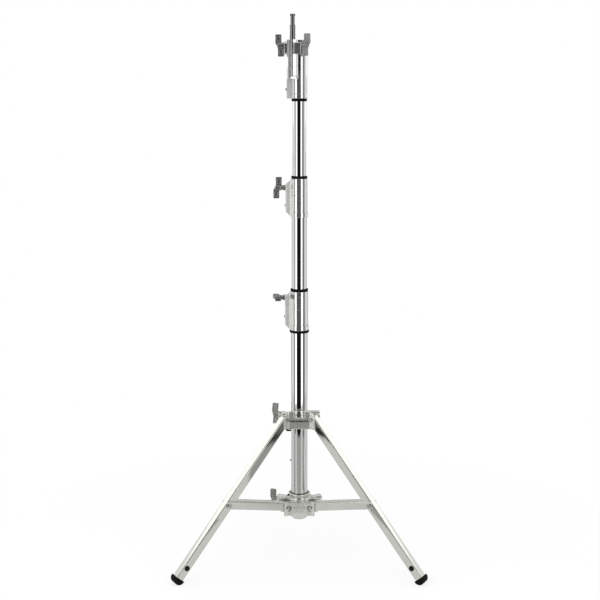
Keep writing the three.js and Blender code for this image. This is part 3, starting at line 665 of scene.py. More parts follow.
def turned_steel(colours):
    """Turned steel, oiled and darker than the plating, on the sliding stud: fine rings and a deep sheen. The
    rings are drawn coarser than real."""
    material, tree, shader = new_material("turned_oiled_steel")
    own = own_coordinates(tree)
    rings = pattern(tree, own, 900, 2, (0.02, 0.02, 1))
    film = pattern(tree, own, 60, 3)
    dress(tree, shader, film, colours.steel, 0.9, (film, 0.14, 0.22), [(rings, 0.003, 0.2)])
    return material


def grey_plated_casting(colours):
    """Zinc die casting with dull grey plating, on the T-handles: a rough cast skin, paler where hands
    polish it."""
    material, tree, shader = new_material("grey_plated_zinc_casting")
    own = own_coordinates(tree)
    skin = pattern(tree, own, 600, 3)
    wear = pattern(tree, own, 70, 3)
    dress(tree, shader, wear, colours.grey, 0.8, (wear, 0.3, 0.42), [(skin, 0.02, 0.3)], metallic=0.85)
    return material


def zinc_plated_steel(colours):
    """Turned steel fasteners with zinc plating: a fine uneven film and a soft sheen."""
    material, tree, shader = new_material("zinc_plated_steel")
    film = pattern(tree, own_coordinates(tree), 300, 3)
    dress(tree, shader, film, colours.zinc, 0.85, (film, 0.2, 0.34), [(film, 0.02, 0.3)])
    return material


def moulded_rubber(colours):
    """Black rubber from a blasted mould: matt, fine grained, paler where it is rubbed."""
    material, tree, shader = new_material("moulded_rubber")
    place = object_coordinates(tree)
    grain = pattern(tree, place, 1800, 2)
    dust = pattern(tree, place, 120, 5)
    layers = [(grain, 0.02, 0.4)]
    dress(tree, shader, dust, colours.rubber, 0.6, (dust, 0.6, 0.8), layers, metallic=0, fade=(1, 0))
    shader.inputs["Specular IOR Level"].default_value = 0.12
    return material


def moulded_nylon(colours):
    """Black nylon from a polished mould: a low sheen and a faint swirl of flow."""
    material, tree, shader = new_material("moulded_nylon")
    flow = pattern(tree, object_coordinates(tree), 260, 4)
    dress(tree, shader, flow, colours.nylon, 0.75, (flow, 0.34, 0.48), [(flow, 0.01, 0.2)], metallic=0)
    shader.inputs["Specular IOR Level"].default_value = 0.2
    return material


# Each finish with the function that makes it and the slot of the pieces that carry it
FINISHES = {
    "chrome_tube": (chrome_plated_tube, "chrome"),
    "chrome_square": (chrome_plated_square_tube, "satin_chrome"),
    "chrome_casting": (chrome_plated_casting, "chrome"),
    "satin": (satin_chrome_steel, "satin_chrome"),
    "alloy": (tumbled_alloy, "cast_alloy"),
    "steel": (turned_steel, "zinc_steel"),
    "grey": (grey_plated_casting, "grey_cast"),
    "zinc": (zinc_plated_steel, "zinc_steel"),
    "rubber": (moulded_rubber, "black_rubber"),
    "nylon": (moulded_nylon, "black_plastic"),
}
# The finishes that are made so far, by name
made = {}


def finish_of(name):
    """The finish of that name, made the first time that it is asked for."""
    if name not in made:
        made[name] = FINISHES[name][0](bpy.context.scene.stand_colours)
    return made[name]


# Column
def tube(node, body, sizes):
    """A round tube of the column, with rounded cut ends."""
    low, radius, tall = round_size(node)
    rim = sizes.rim / MM
    inner = radius - sizes.wall / MM
    profile = [(inner, 0, rim), (radius, 0, rim), (radius, tall, rim), (inner, tall, rim)]
    name = node.replace("_column", "") + "_chromed"
    piece(name, turned(profile, FINE), "chrome_tube", body, [node], on_axis(low))


def riser_bush(node, body, sizes):
    """The nylon bush in a riser's lower end: a flange that runs in the outer tube, and a slit spigot."""
    low, radius, tall = round_size(node)
    lip = sizes.lip / MM
    flange = 6
    bore = 14
    spigot = radius - 0.8 - sizes.wall / MM
    foot = flange + 4
    beyond = tall + 4
    profile = [(bore, 0, lip), (radius, 0, lip), (radius, flange, lip)]
    profile += [(spigot, flange, lip), (spigot, tall, lip), (bore, tall, lip)]
    slit = [(-1, foot, 0), (1, foot, 0), (1, beyond, 0), (-1, beyond, 0)]
    slits = [moved(upright(slit, -30, 30), azimuth=azimuth) for azimuth in (0, math.pi / 2)]
    piece(node + "_moulded", cut(turned(profile), *slits), "nylon", body, [node], on_axis(low))


def rubber_ring(node, body, inner, sizes):
    """A moulded ring: a stop for the tube that runs in it, with a bead round its middle."""
    low, outer, tall = round_size(node)
    lip = sizes.lip / MM
    edge = 1.4
    waist = outer - 0.5
    profile = [(inner, 0, lip), (waist, 0, edge), (waist, tall * 0.3, 1), (outer, tall * 0.4, 1)]
    profile += [(outer, tall * 0.75, 1), (waist, tall, edge), (inner, tall, lip)]
    piece(node + "_moulded", turned(profile), "rubber", body, [node], on_axis(low))


def end_plug():
    """The plug in the column's lower end: a dished cap with a centre hole, over a spigot."""
    low, spigot, tall = round_size("column_end_plug")
    flange = 3.7
    radius = 22
    hole = 6.5
    profile = [(0, 2.4, 0), (hole, 2.4, 0.5), (hole, 0.8, 0.5), (9, 0, 0.5), (radius - 2, 0, 1.5)]
    profile += [(radius, 2, 1), (radius, flange, 0.2)]
    profile += [(spigot, flange + GAP, 0.2), (spigot, tall, 1), (0, tall, 0)]
    piece("column_plug_turned", turned(profile), "satin", "base", ["column_end_plug"], on_axis(low))


def stop_stud():
    """The small domed stud on the column's left that stops the sliding casting."""
    neck = 1.6
    dome = 2.6
    profile = [(0, 0, 0), (neck, 0, 0.8), (dome, 1.2, 0.6), (dome, 3, 0.2), (neck, 3, 0.1), (neck, 4.2, 0.2)]
    mesh = laid(turned([*profile, (0, 4.2, 0)], 32), "X")
    piece("column_stop_turned", mesh, "steel", "base", ["column_stop_stud"], left_end("column_stop_stud"))


def lower_bush(sizes):
    """The split bush in the lower casting's flared mouth, with notches round its top and a dark roller
    in each."""
    low, outer, tall = round_size("lower_bush")
    inner = COLUMN_BORE
    lip = sizes.lip / MM
    half = sizes.notch / MM / 2
    deep = 3.2
    ring = turned([(inner, 0, lip), (outer, 0, lip), (outer, tall, lip), (inner, tall, lip)])
    sides = [(inner - 1, -half, 0), (outer - 1.1, -half, 0.8), (outer - 1.1, half, 0.8), (inner - 1, half, 0)]
    notches = copies(prism(sides, tall - deep, tall + 1), sizes.notches, 0.0, (0, 0, 0), "nylon")
    piece("lower_bush_notched", cut(ring, notches), "zinc", "base", ["lower_bush"], on_axis(low))
    roller = turned([(0, 0, 0), (half - 0.2, 0, 0.2), (half - 0.2, 2.2, 0.6), (0, 2.6, 0)], 16)
    roller = moved(roller, x=(inner + outer) / 2 - 0.4, z=tall - deep + 0.1)
    rollers = copies(roller, sizes.notches, 0.0, (AXIS.x, AXIS.y, low), "nylon")
    piece("lower_bush_rollers", rollers, "nylon", "base", [])


def set_screw():
    """The black grub screw in the lower casting's flare, with its hexagon socket."""
    point = 2.2
    radius = 2.8
    profile = [(0, 0, 0), (point, 0, 0.3), (radius, 0.6, 0.3), (radius, 7, 0.3), (0, 7, 0)]
    mesh = laid(cut(turned(profile, 32), prism(hexagon(1.4), -1, 2)), "X")
    piece("lower_set_screw_turned", mesh, "nylon", "base", ["lower_set_screw"], left_end("lower_set_screw"))


def cap_screw(node, body, finish):
    """A domed cap screw in a lug's face, with its hexagon socket."""
    long = span(node).x
    head = 4.2
    shank = 2.5
    profile = [(0, 0, 0), (2.6, 0, 1.2), (head, 1.4, 0.8), (head, 2.6, 0.2), (shank, 2.6, 0.2)]
    profile += [(shank, long, 0.5), (0, long, 0)]
    mesh = laid(cut(turned(profile, 40), prism(hexagon(1.6), -1, 1.6)), "X")
    piece(node + "_turned", mesh, finish, body, [node], left_end(node))


def brake_pad(node, body):
    """The nylon pad that a collar's screw presses on the riser."""
    long = span(node).x
    radius = 5
    dish = long - 0.5
    profile = [(0, 0, 0), (radius, 0, 0.6), (radius, long, 0.4), (3, long, 0.3)]
    profile += [(2.4, dish, 0.2), (0, dish, 0)]
    piece(node + "_moulded", laid(turned(profile, 40), "X"), "nylon", body, [node], left_end(node))


# Collars
def lug(face, wall, skirt, tall, sizes):
    """The cast lug down a collar's left: a flat face, sloping ends, and sides that flare into the collar."""
    root = 17
    plan = [(face, 8), (wall + 4, 8.5), (wall - 0.3, 10), (wall - 3.3, 13.5), (wall - 6.3, root)]
    sides = [(-x, -y, 3) for x, y in plan] + [(0, -root, 0), (0, root, 0)]
    sides += [(-x, y, 3) for x, y in reversed(plan)]
    ends = [(0, 2, 0), (-skirt, 2, 3), (-face, 17, 4)]
    ends += [(-face, tall - 17, 4), (-skirt, tall - 2, 3), (0, tall - 2, 0)]
    return cast(common(prism(sides, 0, tall), upright(ends, -20, 20)), sizes.lug_cell, 4)


def grooved(wall, foot, deep, wide, lead, fillet):
    """A groove round a turned wall, for its profile, from the height where its lower edge is."""
    floor = wall - deep
    top = foot + wide
    return [(wall, foot, 0.3), (floor, foot + lead, fillet), (floor, top - lead, fillet), (wall, top, 0.3)]


def collar(name, body, sizes, bore, socket, skirt, wall, screw_height):
    """A turned collar with a lug down its left for the clamping screw."""
    node = f"{name}_body"
    low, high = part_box(node)
    tall = (high.z - low.z) / MM
    face = (AXIS.x - low.x) / MM
    handle_height = (joint_place(f"{name}_screw_turn").z - low.z) / MM
    lip = sizes.lip / MM
    neck = wall - 1.4
    outside = [(0, 0, 0), (skirt - 0.4, 0, 0.8), (skirt, 1.2, 0.6), (skirt, 15, lip)]
    outside += [(neck, 15.6, 0.2), (neck, 17, 0.2), (wall, 17.4, lip)]
    outside += grooved(wall, 63, 1.6, 2, 0.3, 0.2) + grooved(wall, tall - 15, 1.2, 1, 0.2, 0.1)
    outside += [(wall, tall, 0.9), (0, tall, 0)]
    boss = moved(rod(9.5, -face, -wall + 3, "X", 48, edge=1), z=handle_height)
    shell = joined(turned(outside, FINE), lug(face, wall, skirt, tall, sizes), boss)
    inside = [(0, -2, 0), (socket, -2, 0), (socket, 25, 0.4), (bore, 25.2, 0.4)]
    inside += [(bore, tall + 2, 0), (0, tall + 2, 0)]
    tools = [
        turned(inside, FINE),
        moved(rod(SCREW_BORE, -face - 2, 0, "X"), z=handle_height),
        moved(rod(CAP_BORE, -face - 2, -face + 10, "X", 32), z=screw_height),
    ]
    piece(f"{name}_machined", cut(shell, *tools), "chrome_casting", body, [node], on_axis(low.z), crease=32,
          as_cast=lambda spot: spot.xy.length > (skirt + 0.3) * MM)


# Spider castings
def pod_outline(slot, ear, plate, reach, floor, bulge=()):
    """The spider's plan: pods between three radial slots, each with a plate that swells at its middle."""
    turn = math.radians(60)
    outer = slot + ear
    plate_end = (plate - outer * math.sin(turn)) / math.cos(turn)
    points = []

    def add(azimuth, along, aside, fillet=0.0):
        c, s = math.cos(azimuth), math.sin(azimuth)
        points.append((along * c - aside * s, along * s + aside * c, fillet))

    for azimuth in LEG_AZIMUTHS:
        for along, aside in ((floor, -slot), (floor, slot), (reach, slot), (reach, outer)):
            add(azimuth, along, aside)
        add(azimuth, plate_end, outer, 1.0)
        for aside, rise in bulge:
            add(azimuth + turn, plate + rise, aside)
        add(azimuth + 2 * turn, plate_end, -outer, 1.0)
        add(azimuth + 2 * turn, reach, -outer)
        add(azimuth + 2 * turn, reach, -slot)
    return points


def round_bulge(radius, half, steps=8):
    """A swell of a round radius across the middle of a plate, as places aside and out."""
    foot = math.sqrt(radius**2 - half**2)
    asides = [half * k / steps for k in range(-steps, steps + 1)]
    return [(aside, math.sqrt(radius**2 - aside**2) - foot) for aside in asides]


def pod_hollows(pods, hub, wall, low, high):
    """The hollows inside the pods, open below."""
    turn = math.radians(60)
    near = hub + GAP
    far = pods["plate"] - wall
    outer = pods["slot"] + pods["ear"]
    near_side, far_side = ((distance * math.sin(turn) - outer) / math.cos(turn) for distance in (near, far))
    outline = [(near, -near_side, 0), (far, -far_side, 2), (far, far_side, 2), (near, near_side, 0)]
    return [moved(prism(outline, low, high), azimuth=azimuth) for azimuth in POD_AZIMUTHS]


def linkage_tools(pods, reach, pocket):
    """The bolts' bores and pockets in a spider, round its pivots."""
    outer = pods["slot"] + pods["ear"]
    bolt = 4 + GAP
    bores = [(azimuth, bolt, -outer - 2, outer + 2, 32) for azimuth in LEG_AZIMUTHS]
    ends = ((outer, reach), (-reach, -outer))
    pockets = [(azimuth, pocket, low, high, 48) for azimuth in LEG_AZIMUTHS for low, high in ends]
    return [
        moved(rod(radius, low, high, "Y", steps), x=PIVOT_RADIUS, azimuth=azimuth)
        for azimuth, radius, low, high, steps in bores + pockets
    ]


def screw_tool(face, azimuth, z=0.0):
    """The bore of a clamping screw."""
    return moved(rod(SCREW_BORE, 0, face + 2, "X", 32), z=z, azimuth=azimuth)


def screw_lug(near, far, azimuth, z, radius, tall, edge=1.0):
    """A lug with round ends for a clamping screw, out from an axis."""
    mesh = prism(rectangle(tall / 2, radius, radius - 0.1), near, far, edge, steps=10)
    return moved(laid(mesh, "X"), z=z, azimuth=azimuth)


def lower_casting(sizes):
    """The spider casting that is fixed on the column: flared mouth, arched plates, a lug at the back of
    each rear pod."""
    low, top = ((z - LOWER_PIVOT_Z) / MM for z in heights("lower_casting"))
    high = 20
    hub = sizes.hub / MM
    boss = sizes.boss / MM
    reach = 62.5
    lug_reach = 76
    slot = LOWER_PODS["slot"]
    outer = slot + LOWER_PODS["ear"]
    below = low - 2
    body = prism(pod_outline(**LOWER_PODS, reach=reach, floor=33.5, bulge=round_bulge(120, 22)), low, high)
    arch = [(-24, below, 0), (24, below, 0), (17, low + 6, 5), (-17, low + 6, 5)]
    arches = [moved(upright(arch, hub, 70), azimuth=azimuth - math.pi / 2) for azimuth in POD_AZIMUTHS]
    mouth = [(0, low, 0), (hub, low, 2), (hub, high - 2, 0), (hub - 2.5, high + 3, 4)]
    mouth += [(hub - 1, high + 10, 6), (33, top - 3.5, 2), (33, top, 1.5), (0, top, 0)]
    back_pods = POD_AZIMUTHS[1:]
    lug_height = sizes.lug_height / MM
    lugs = [screw_lug(hub - 2, lug_reach, azimuth, 0, boss, lug_height, edge=2) for azimuth in back_pods]
    discs = [
        moved(rod(6.5, side * (boss + 1), side * (boss - 2), "Y", 40), x=lug_reach - 13, azimuth=azimuth)
        for azimuth, side in zip(back_pods, (-1, 1))
    ]
    hollows = pod_hollows(LOWER_PODS, hub, sizes.plate_wall / MM, below, high - 6)
    shell = cut(body, *hollows, *arches, *linkage_tools(LOWER_PODS, reach, sizes.pocket / MM))
    shell = joined(shell, turned(mouth), *lugs, *discs)
    bush_seat = top - 10
    bush = 29.5
    bore = [(0, below, 0), (COLUMN_BORE, below, 0), (COLUMN_BORE, bush_seat, 0), (bush, bush_seat + 0.2, 0)]
    bore += [(bush, top - 1, 0), (31, top + 2, 0), (0, top + 2, 0)]
    ear_corner = [(reach - 16, below, 0), (reach + 2, below, 0), (reach + 2, low + 10, 0)]
    tools = [
        turned(bore),
        moved(rod(3.1, -40, 0, "X", 32), z=bush_seat),
        screw_tool(lug_reach, POD_AZIMUTHS[2]),
        moved(upright(ear_corner, -outer - 1, 1 - slot), azimuth=LEG_AZIMUTHS[0]),
        moved(upright(ear_corner, slot - 1, outer + 1), azimuth=LEG_AZIMUTHS[1]),
    ]
    mesh = cast(cut(shell, *tools), sizes.cell, sizes.rounds)
    mesh = joined(mesh, curly_bracket(LOWER_PODS["plate"] + 1.6))
    piece("lower_spider_cast", mesh, "alloy", "base", ["lower_casting"], on_axis(LOWER_PIVOT_Z), crease=70)


def curly_bracket(face):
    """A raised line on the front plate, like a bracket lying on its side between the bolts' pockets."""
    count = 24
    width = 1.6
    shares = [k / count * 2 - 1 for k in range(count + 1)]
    line = [(17 * share, 7 - 9 * abs(share) ** 0.55 + 3.5 * abs(share) ** 4) for share in shares]
    outline = [(x, z - width, 0) for x, z in line] + [(x, z + width, 0) for x, z in reversed(line)]
    return moved(upright(outline, face - 4, face + 1.8), azimuth=math.pi)


def upper_casting(sizes):
    """The spider casting that slides on the column: an arched front plate over low rear pods, a round
    middle, two horns, a bare strip for a label, one clamping boss."""
    low, rise = ((z - UPPER_PIVOT_Z) / MM for z in heights("upper_casting"))
    corner = 14
    pod_top = 11
    collar_top = 12
    reach = 62.6
    boss_reach = 60
    bore = 25.5
    wall = sizes.plate_wall / MM
    hub = sizes.hub / MM
    slot = UPPER_PODS["slot"]
    outer = slot + UPPER_PODS["ear"]
    plate = UPPER_PODS["plate"]
    middle_foot = 7
    middle_half = 17
    swell = [(x, -plate - out, 0) for x, out in round_bulge(25, middle_half)]
    swell = [(-middle_half, 6 - plate, 0), *swell, (middle_half, 6 - plate, 0)]
    half = reach * math.sin(math.radians(60)) - slot * math.cos(math.radians(60)) + 2
    arch = [(half * k / 12, corner + (rise - corner) * (1 - (k / 12) ** 2), 0) for k in range(12, -13, -1)]
    gable = [(-half, low, 0), (half, low, 0), *arch]
    arched = moved(upright(gable, plate - wall - 2, reach + 4), azimuth=math.pi)
    cover = joined(prism(rectangle(reach + 20, reach + 20), low - 1, pod_top), arched)
    plan = pod_outline(**UPPER_PODS, reach=reach, floor=35)
    body = common(joined(prism(plan, low, rise), prism(swell, middle_foot, rise, 1.5)), cover)
    hollows = pod_hollows(UPPER_PODS, hub, wall, low - 2, 8)
    body = cut(body, *hollows, *linkage_tools(UPPER_PODS, reach, sizes.upper_pocket / MM))
    horn = [(reach - 20, corner - 8, 0), (reach - 2, corner - 6.5, 2), (reach + 20, corner + 9.8, 0.5)]
    horn += [(reach + 18, corner + 13.8, 0.5), (reach - 4, corner - 1.5, 2), (reach - 20, corner - 2, 0)]
    horns = [
        moved(upright(horn, -outer, -slot), azimuth=LEG_AZIMUTHS[1]),
        moved(upright(horn, slot, outer), azimuth=LEG_AZIMUTHS[0]),
    ]
    boss = moved(rod(sizes.boss / MM, hub - 2, boss_reach, "X"), azimuth=POD_AZIMUTHS[2])
    ring = turned([(0, low, 0), (hub, low, 1), (hub, collar_top, 1), (0, collar_top, 0)])
    column = turned([(0, low - 2, 0), (bore, low - 2, 0), (bore, rise + 2, 0), (0, rise + 2, 0)])
    mesh = cut(joined(body, ring, boss, *horns), column, screw_tool(boss_reach, POD_AZIMUTHS[2]))
    mesh = cast(mesh, sizes.cell, sizes.rounds)
    strip_half, strip_low, strip_high = 26, -7, -1.8
    strip = [(-strip_half, strip_low, 1), (strip_half, strip_low, 1)]
    strip += [(strip_half, strip_high, 1), (-strip_half, strip_high, 1)]
    strip_floor = plate - 1.1
    mesh = cut(mesh, moved(upright(strip, strip_floor, plate + 4), azimuth=math.pi))

    def bright(spot):
        """The round middle, and the bare strip's floor."""
        x, y, z = spot / MM
        on_strip = abs(x) < strip_half and strip_low < z < strip_high and abs(y + strip_floor) < 0.1
        return on_strip or (z > middle_foot and abs(x) < middle_half and y < -plate)

    piece("upper_spider_cast", mesh, "alloy", "upper_slider", ["upper_casting"], on_axis(UPPER_PIVOT_Z),
          crease=70, polished=bright)


def bumper():
    """The black rubber bumper under the upper casting's front plate."""
    sides = span("upper_bumper")
    mesh = prism(rectangle(sides.x / 2, sides.y / 2, 2), 0, sides.z, 0.8)
    piece("upper_bumper_moulded", mesh, "rubber", "upper_slider", ["upper_bumper"], foot_of("upper_bumper"))


# Legs, braces and bolts
def leg_place(azimuth):
    """A leg's own place: its origin on the upper pivot, with Z up along the leg."""
    return on_pivot(azimuth, UPPER_PIVOT_Z, -LEG_TILT)


def cross_bore(radius):
    """A bore through a leg or a brace, across it."""
    return rod(radius, -20, 20, "Y", 40)


def leg_tube(name, azimuth, sizes):
    """A square leg: rounded corners, a rounded top end, and the bolts' holes."""
    half = LEG_HALF
    inner = half - sizes.leg_wall / MM
    tail = -FOOT_REACH - 4
    bolt = sizes.bolt / MM + GAP
    bar = prism(rectangle(half, half, sizes.leg_corner / MM), tail, half + 1, steps=6)
    side = [(-half - 1, tail - 2, 0), (half + 1, tail - 2, 0), (half + 1, -half, 0)]
    side += [(x * 1.001, z, 0) for x, z, _ in half_round(half)] + [(-half - 1, -half, 0)]
    bar = common(bar, upright(side, -20, 20))
    tools = [
        prism(rectangle(inner, inner, 1), tail - 2, half + 4),
        cross_bore(bolt),
        moved(cross_bore(bolt), z=-LEG_SPAN),
        moved(cross_bore(4.3), z=FOOT_PIN_RISE - FOOT_REACH),
    ]
    mesh = cut(bar, *tools)
    piece(f"{name}_plated", mesh, "chrome_square", name, [f"{name}_tube"], leg_place(azimuth), crease=35)


def pin(node, body, place, finish, along, head, height, radius=4, socket=0.0):
    """A bolt or rivet with a domed head at each end, in millimetres from its middle."""
    crown = height * 0.35
    end = along + height
    dome = [(0, -end, 0), (head - crown * 1.5, -end, crown), (head, crown - end, crown * 0.8)]
    dome += [(head, -along, 0.2), (radius, -along, 0.2)]
    mesh = turned(dome + [(x, -z, fillet) for x, z, fillet in reversed(dome)], 48)
    if socket:
        deep = 1.6
        sockets = [prism(hexagon(socket), low, low + deep + 1) for low in (end - deep, -end - 1)]
        mesh = cut(mesh, *sockets)
    piece(node + "_turned", laid(mesh, "Y"), finish, body, [node], place)


def foot(name, azimuth):
    """A rubber foot on a leg's end: a low rocker with grooves across it and a flat where it stands."""
    node = f"{name}_foot"
    radius = 15.9
    half = 15.5
    socket = LEG_HALF + GAP
    collar_top = 2
    pocket_floor = -4.3
    grooves = 7
    place = leg_place(azimuth) @ Matrix.Translation((0, 0, -FOOT_REACH * MM))
    rocker = rod(radius, -half, half, "Y", 96, edge=1.5)
    pocket = prism(rectangle(socket, socket, 2), pocket_floor, 20)
    above = prism(rectangle(20, 20), collar_top, 20)
    treads = [
        Matrix.Rotation(math.radians(angle), 4, "Y") @ Vector((radius, 0, 0))
        for angle in range(25, 156, 130 // (grooves - 1))
    ]
    tools = [moved(rod(0.5, -20, 20, "Y", 12), x=spot.x, z=spot.z) for spot in treads]
    drop = place.inverted() @ Vector((place.translation.x, place.translation.y, 0))
    down = (drop / MM).normalized()
    ground = rod(60, 0, 60, "Z", 24)
    turn = Vector((0, 0, 1)).rotation_difference(down).to_matrix().to_4x4()
    ground.transform(Matrix.Translation(down * drop.length) @ turn)
    piece(f"{node}_moulded", cut(rocker, pocket, above, ground, *tools), "rubber", name, [node], place)


def brace(name, azimuth, sizes):
    """A brace bent from sheet: web above, a flange down each side, rounded ends."""
    wall = sizes.brace_wall / MM
    top = sizes.brace_top / MM
    drop = -sizes.brace_drop / MM
    bend = sizes.brace_bend / MM
    bolt = sizes.bolt / MM + GAP
    half = LEG_HALF + 0.4 + wall
    inner = half - wall
    edge = 0.5
    section = [(-half, drop, edge), (-inner, drop, edge), (-inner, top - wall, bend - wall)]
    section += [(inner, top - wall, bend - wall), (inner, drop, edge), (half, drop, edge)]
    section += [(half, top, bend), (-half, top, bend)]
    reach = BRACE_LENGTH + 30
    channel = prism(section, -30, reach)
    channel.transform(Matrix(((0, 0, 1, 0), (1, 0, 0, 0), (0, 1, 0, 0), (0, 0, 0, 1))))
    end = (top - drop) / 2
    mid = (top + drop) / 2
    side = half_round(end, BRACE_LENGTH - 2, mid, -math.pi / 2) + half_round(end, 2, mid, math.pi / 2)
    stop = BRACE_LENGTH - sizes.web_stop / MM
    aside = inner + 0.1
    window = [(stop, -aside, 3), (reach, -aside, 0), (reach, aside, 0), (stop, aside, 3)]
    start = [(-30, -aside, 0), (2, -aside, 2), (2, aside, 2), (-30, aside, 0)]
    mesh = common(channel, upright(side, -20, 20))
    bores = [cross_bore(bolt), moved(cross_bore(bolt), x=BRACE_LENGTH)]
    mesh = cut(mesh, prism(window, 0, 20), prism(start, 0, 20), *bores)
    place = on_pivot(azimuth, LOWER_PIVOT_Z, -BRACE_ANGLE)
    piece(f"{name}_bent", mesh, "satin", name, [name], place, crease=35)


def screw_mesh(low, high, radius, head, height):
    """A bolt head on a shank along Y, for the ring of pivots."""
    end = high + height
    profile = [(0, low, 0), (radius, low, 0.4), (radius, high, 0.2), (head, high, 0.2)]
    profile += [(head, end - 1.2, 0.9), (head - 1.4, end, 0.9), (0, end, 0)]
    return laid(cut(turned(profile, 48), prism(hexagon(2.6), end - 1.8, end + 1)), "Y")


def merged(first, second):
    """Two meshes as one, without joining their surfaces."""
    bm = bmesh.new()
    bm.from_mesh(first)
    bm.from_mesh(second)
    return mesh_of(bm)


def ring_of_pivots(name, body, pair, height, nodes):
    """The bolts of one spider: a pair on a pivot, at each of the three."""
    place = (AXIS.x, AXIS.y, height)
    mesh = copies(moved(pair, x=PIVOT_RADIUS), len(LEGS), LEG_AZIMUTHS[2], place, "zinc")
    piece(name, mesh, "zinc", body, nodes)


def pivot_bolts(sizes):
    """The bolts of the braces in the lower casting, and the pivot screws of the upper one."""
    bolt = sizes.bolt / MM
    head = sizes.head / MM
    tall = 4
    outer = LOWER_PODS["slot"] + LOWER_PODS["ear"] + GAP
    nut = laid(prism(hexagon(head, 0.8), -outer - tall, -outer, 0.5), "Y")
    pair = joined(screw_mesh(-outer, outer, bolt, head, tall), nut)
    nodes = [f"{brace_name}_casting_bolt" for brace_name in BRACES]
    ring_of_pivots("lower_pivot_bolts", "base", pair, LOWER_PIVOT_Z, nodes)
    outer = UPPER_PODS["slot"] + UPPER_PODS["ear"] + GAP
    right, left = (screw_mesh(LEG_HALF + GAP, outer, bolt, head, tall) for _ in range(2))
    pair = merged(right, moved(left, azimuth=math.pi))
    nodes = [f"{leg}_pivot_screw_{side}" for leg in LEGS for side in ("left", "right")]
    ring_of_pivots("upper_pivot_screws", "upper_slider", pair, UPPER_PIVOT_Z, nodes)


# T-handles
def handle_mesh(sizes, screw, seat):
    """A T-handle along +X from its seat: a turned hub, a wing whose two lobes stand a little out and in
    along the screw, and the screw behind the seat."""
    half = sizes.wing_span / MM / 2
    wide = sizes.wing_width / MM / 2
    depth = sizes.wing_depth / MM / 2
    offset = sizes.wing_offset / MM
    step = sizes.wing_step / MM
    hub = sizes.hub / MM
    neck = sizes.neck / MM
    mid = seat + wide

    def spot(along, height, fillet=0.0):
        return (mid + along + math.copysign(offset, height), height, fillet)

    wing = [spot(-wide, -half, 2), spot(wide, -half, 2), spot(wide, -step, 2.5), spot(wide, step, 2.5)]
    wing += [spot(wide, half, 2), spot(-wide, half, 2), spot(-wide, step, 2.5), spot(-wide, -step, 2.5)]
    dishes = []
    for end, side in ((-1, -1), (-1, 1), (1, -1), (1, 1)):
        dish = rod(9, -1.2, 1.2, "Y", 40, edge=1)
        dish.transform(Matrix.Diagonal((0.6, 1, 0.95, 1)))
        x, z, _ = spot(0, end * half * 0.6)
        dishes.append(moved(dish, x=x, y=side * (depth + 0.4), z=z))
    profile = [(0, 0, 0), (hub, 0, 0.8), (hub, 4, 1)]
    if seat > 6:
        profile += [(neck, 5.5, 1.5), (neck, seat - 3, 3), (hub, seat + 3, 3)]
    nose = mid + wide * 0.8
    profile += [(hub, mid + wide * 0.6, 2), (hub - 2, nose, 1.5), (0, nose, 0)]
    barrel = laid(turned(profile, 64), "X")
    grip = cast(joined(cut(upright(wing, -depth, depth, 1.2), *dishes), barrel), sizes.cell, 2)
    shank = [(0, -screw, 0), (3.8, -screw, 0), (5, 1.2 - screw, 0.3), (5, 1, 0), (0, 1, 0)]
    return joined(grip, laid(turned(shank, 40), "X"))


def handle(node, body, turn, hub, sizes):
    """A clamping T-handle on its joint, with its screw as long as in the frame."""
    entry = joint(body + "_turn")
    axis = Vector(entry["axis"])
    place = at(Vector(entry["pos_m"]), math.atan2(axis.y, axis.x), 0, math.radians(turn))
    corners = [place.inverted() @ v.co for v in frame["nodes"][node].data.vertices]
    screw = -min(corner.x for corner in corners) / MM
    piece(f"{node}_cast", handle_mesh(sizes, screw, hub), "grey", body, [node], place, crease=60)


# Head and stud
def stud_sleeve(low, tall, sizes):
    """The stud's sleeve about its own axis: two flats that meet at the slit, and a round back."""
    front = [(-16.3, -1, 3), (-13, -9.25, 4), (0, -16.8, 1), (9.5, -13.9, 3), (15.5, -6, 4)]
    return prism(front + half_round(16.4, steps=12), low, tall, sizes.lip / MM)


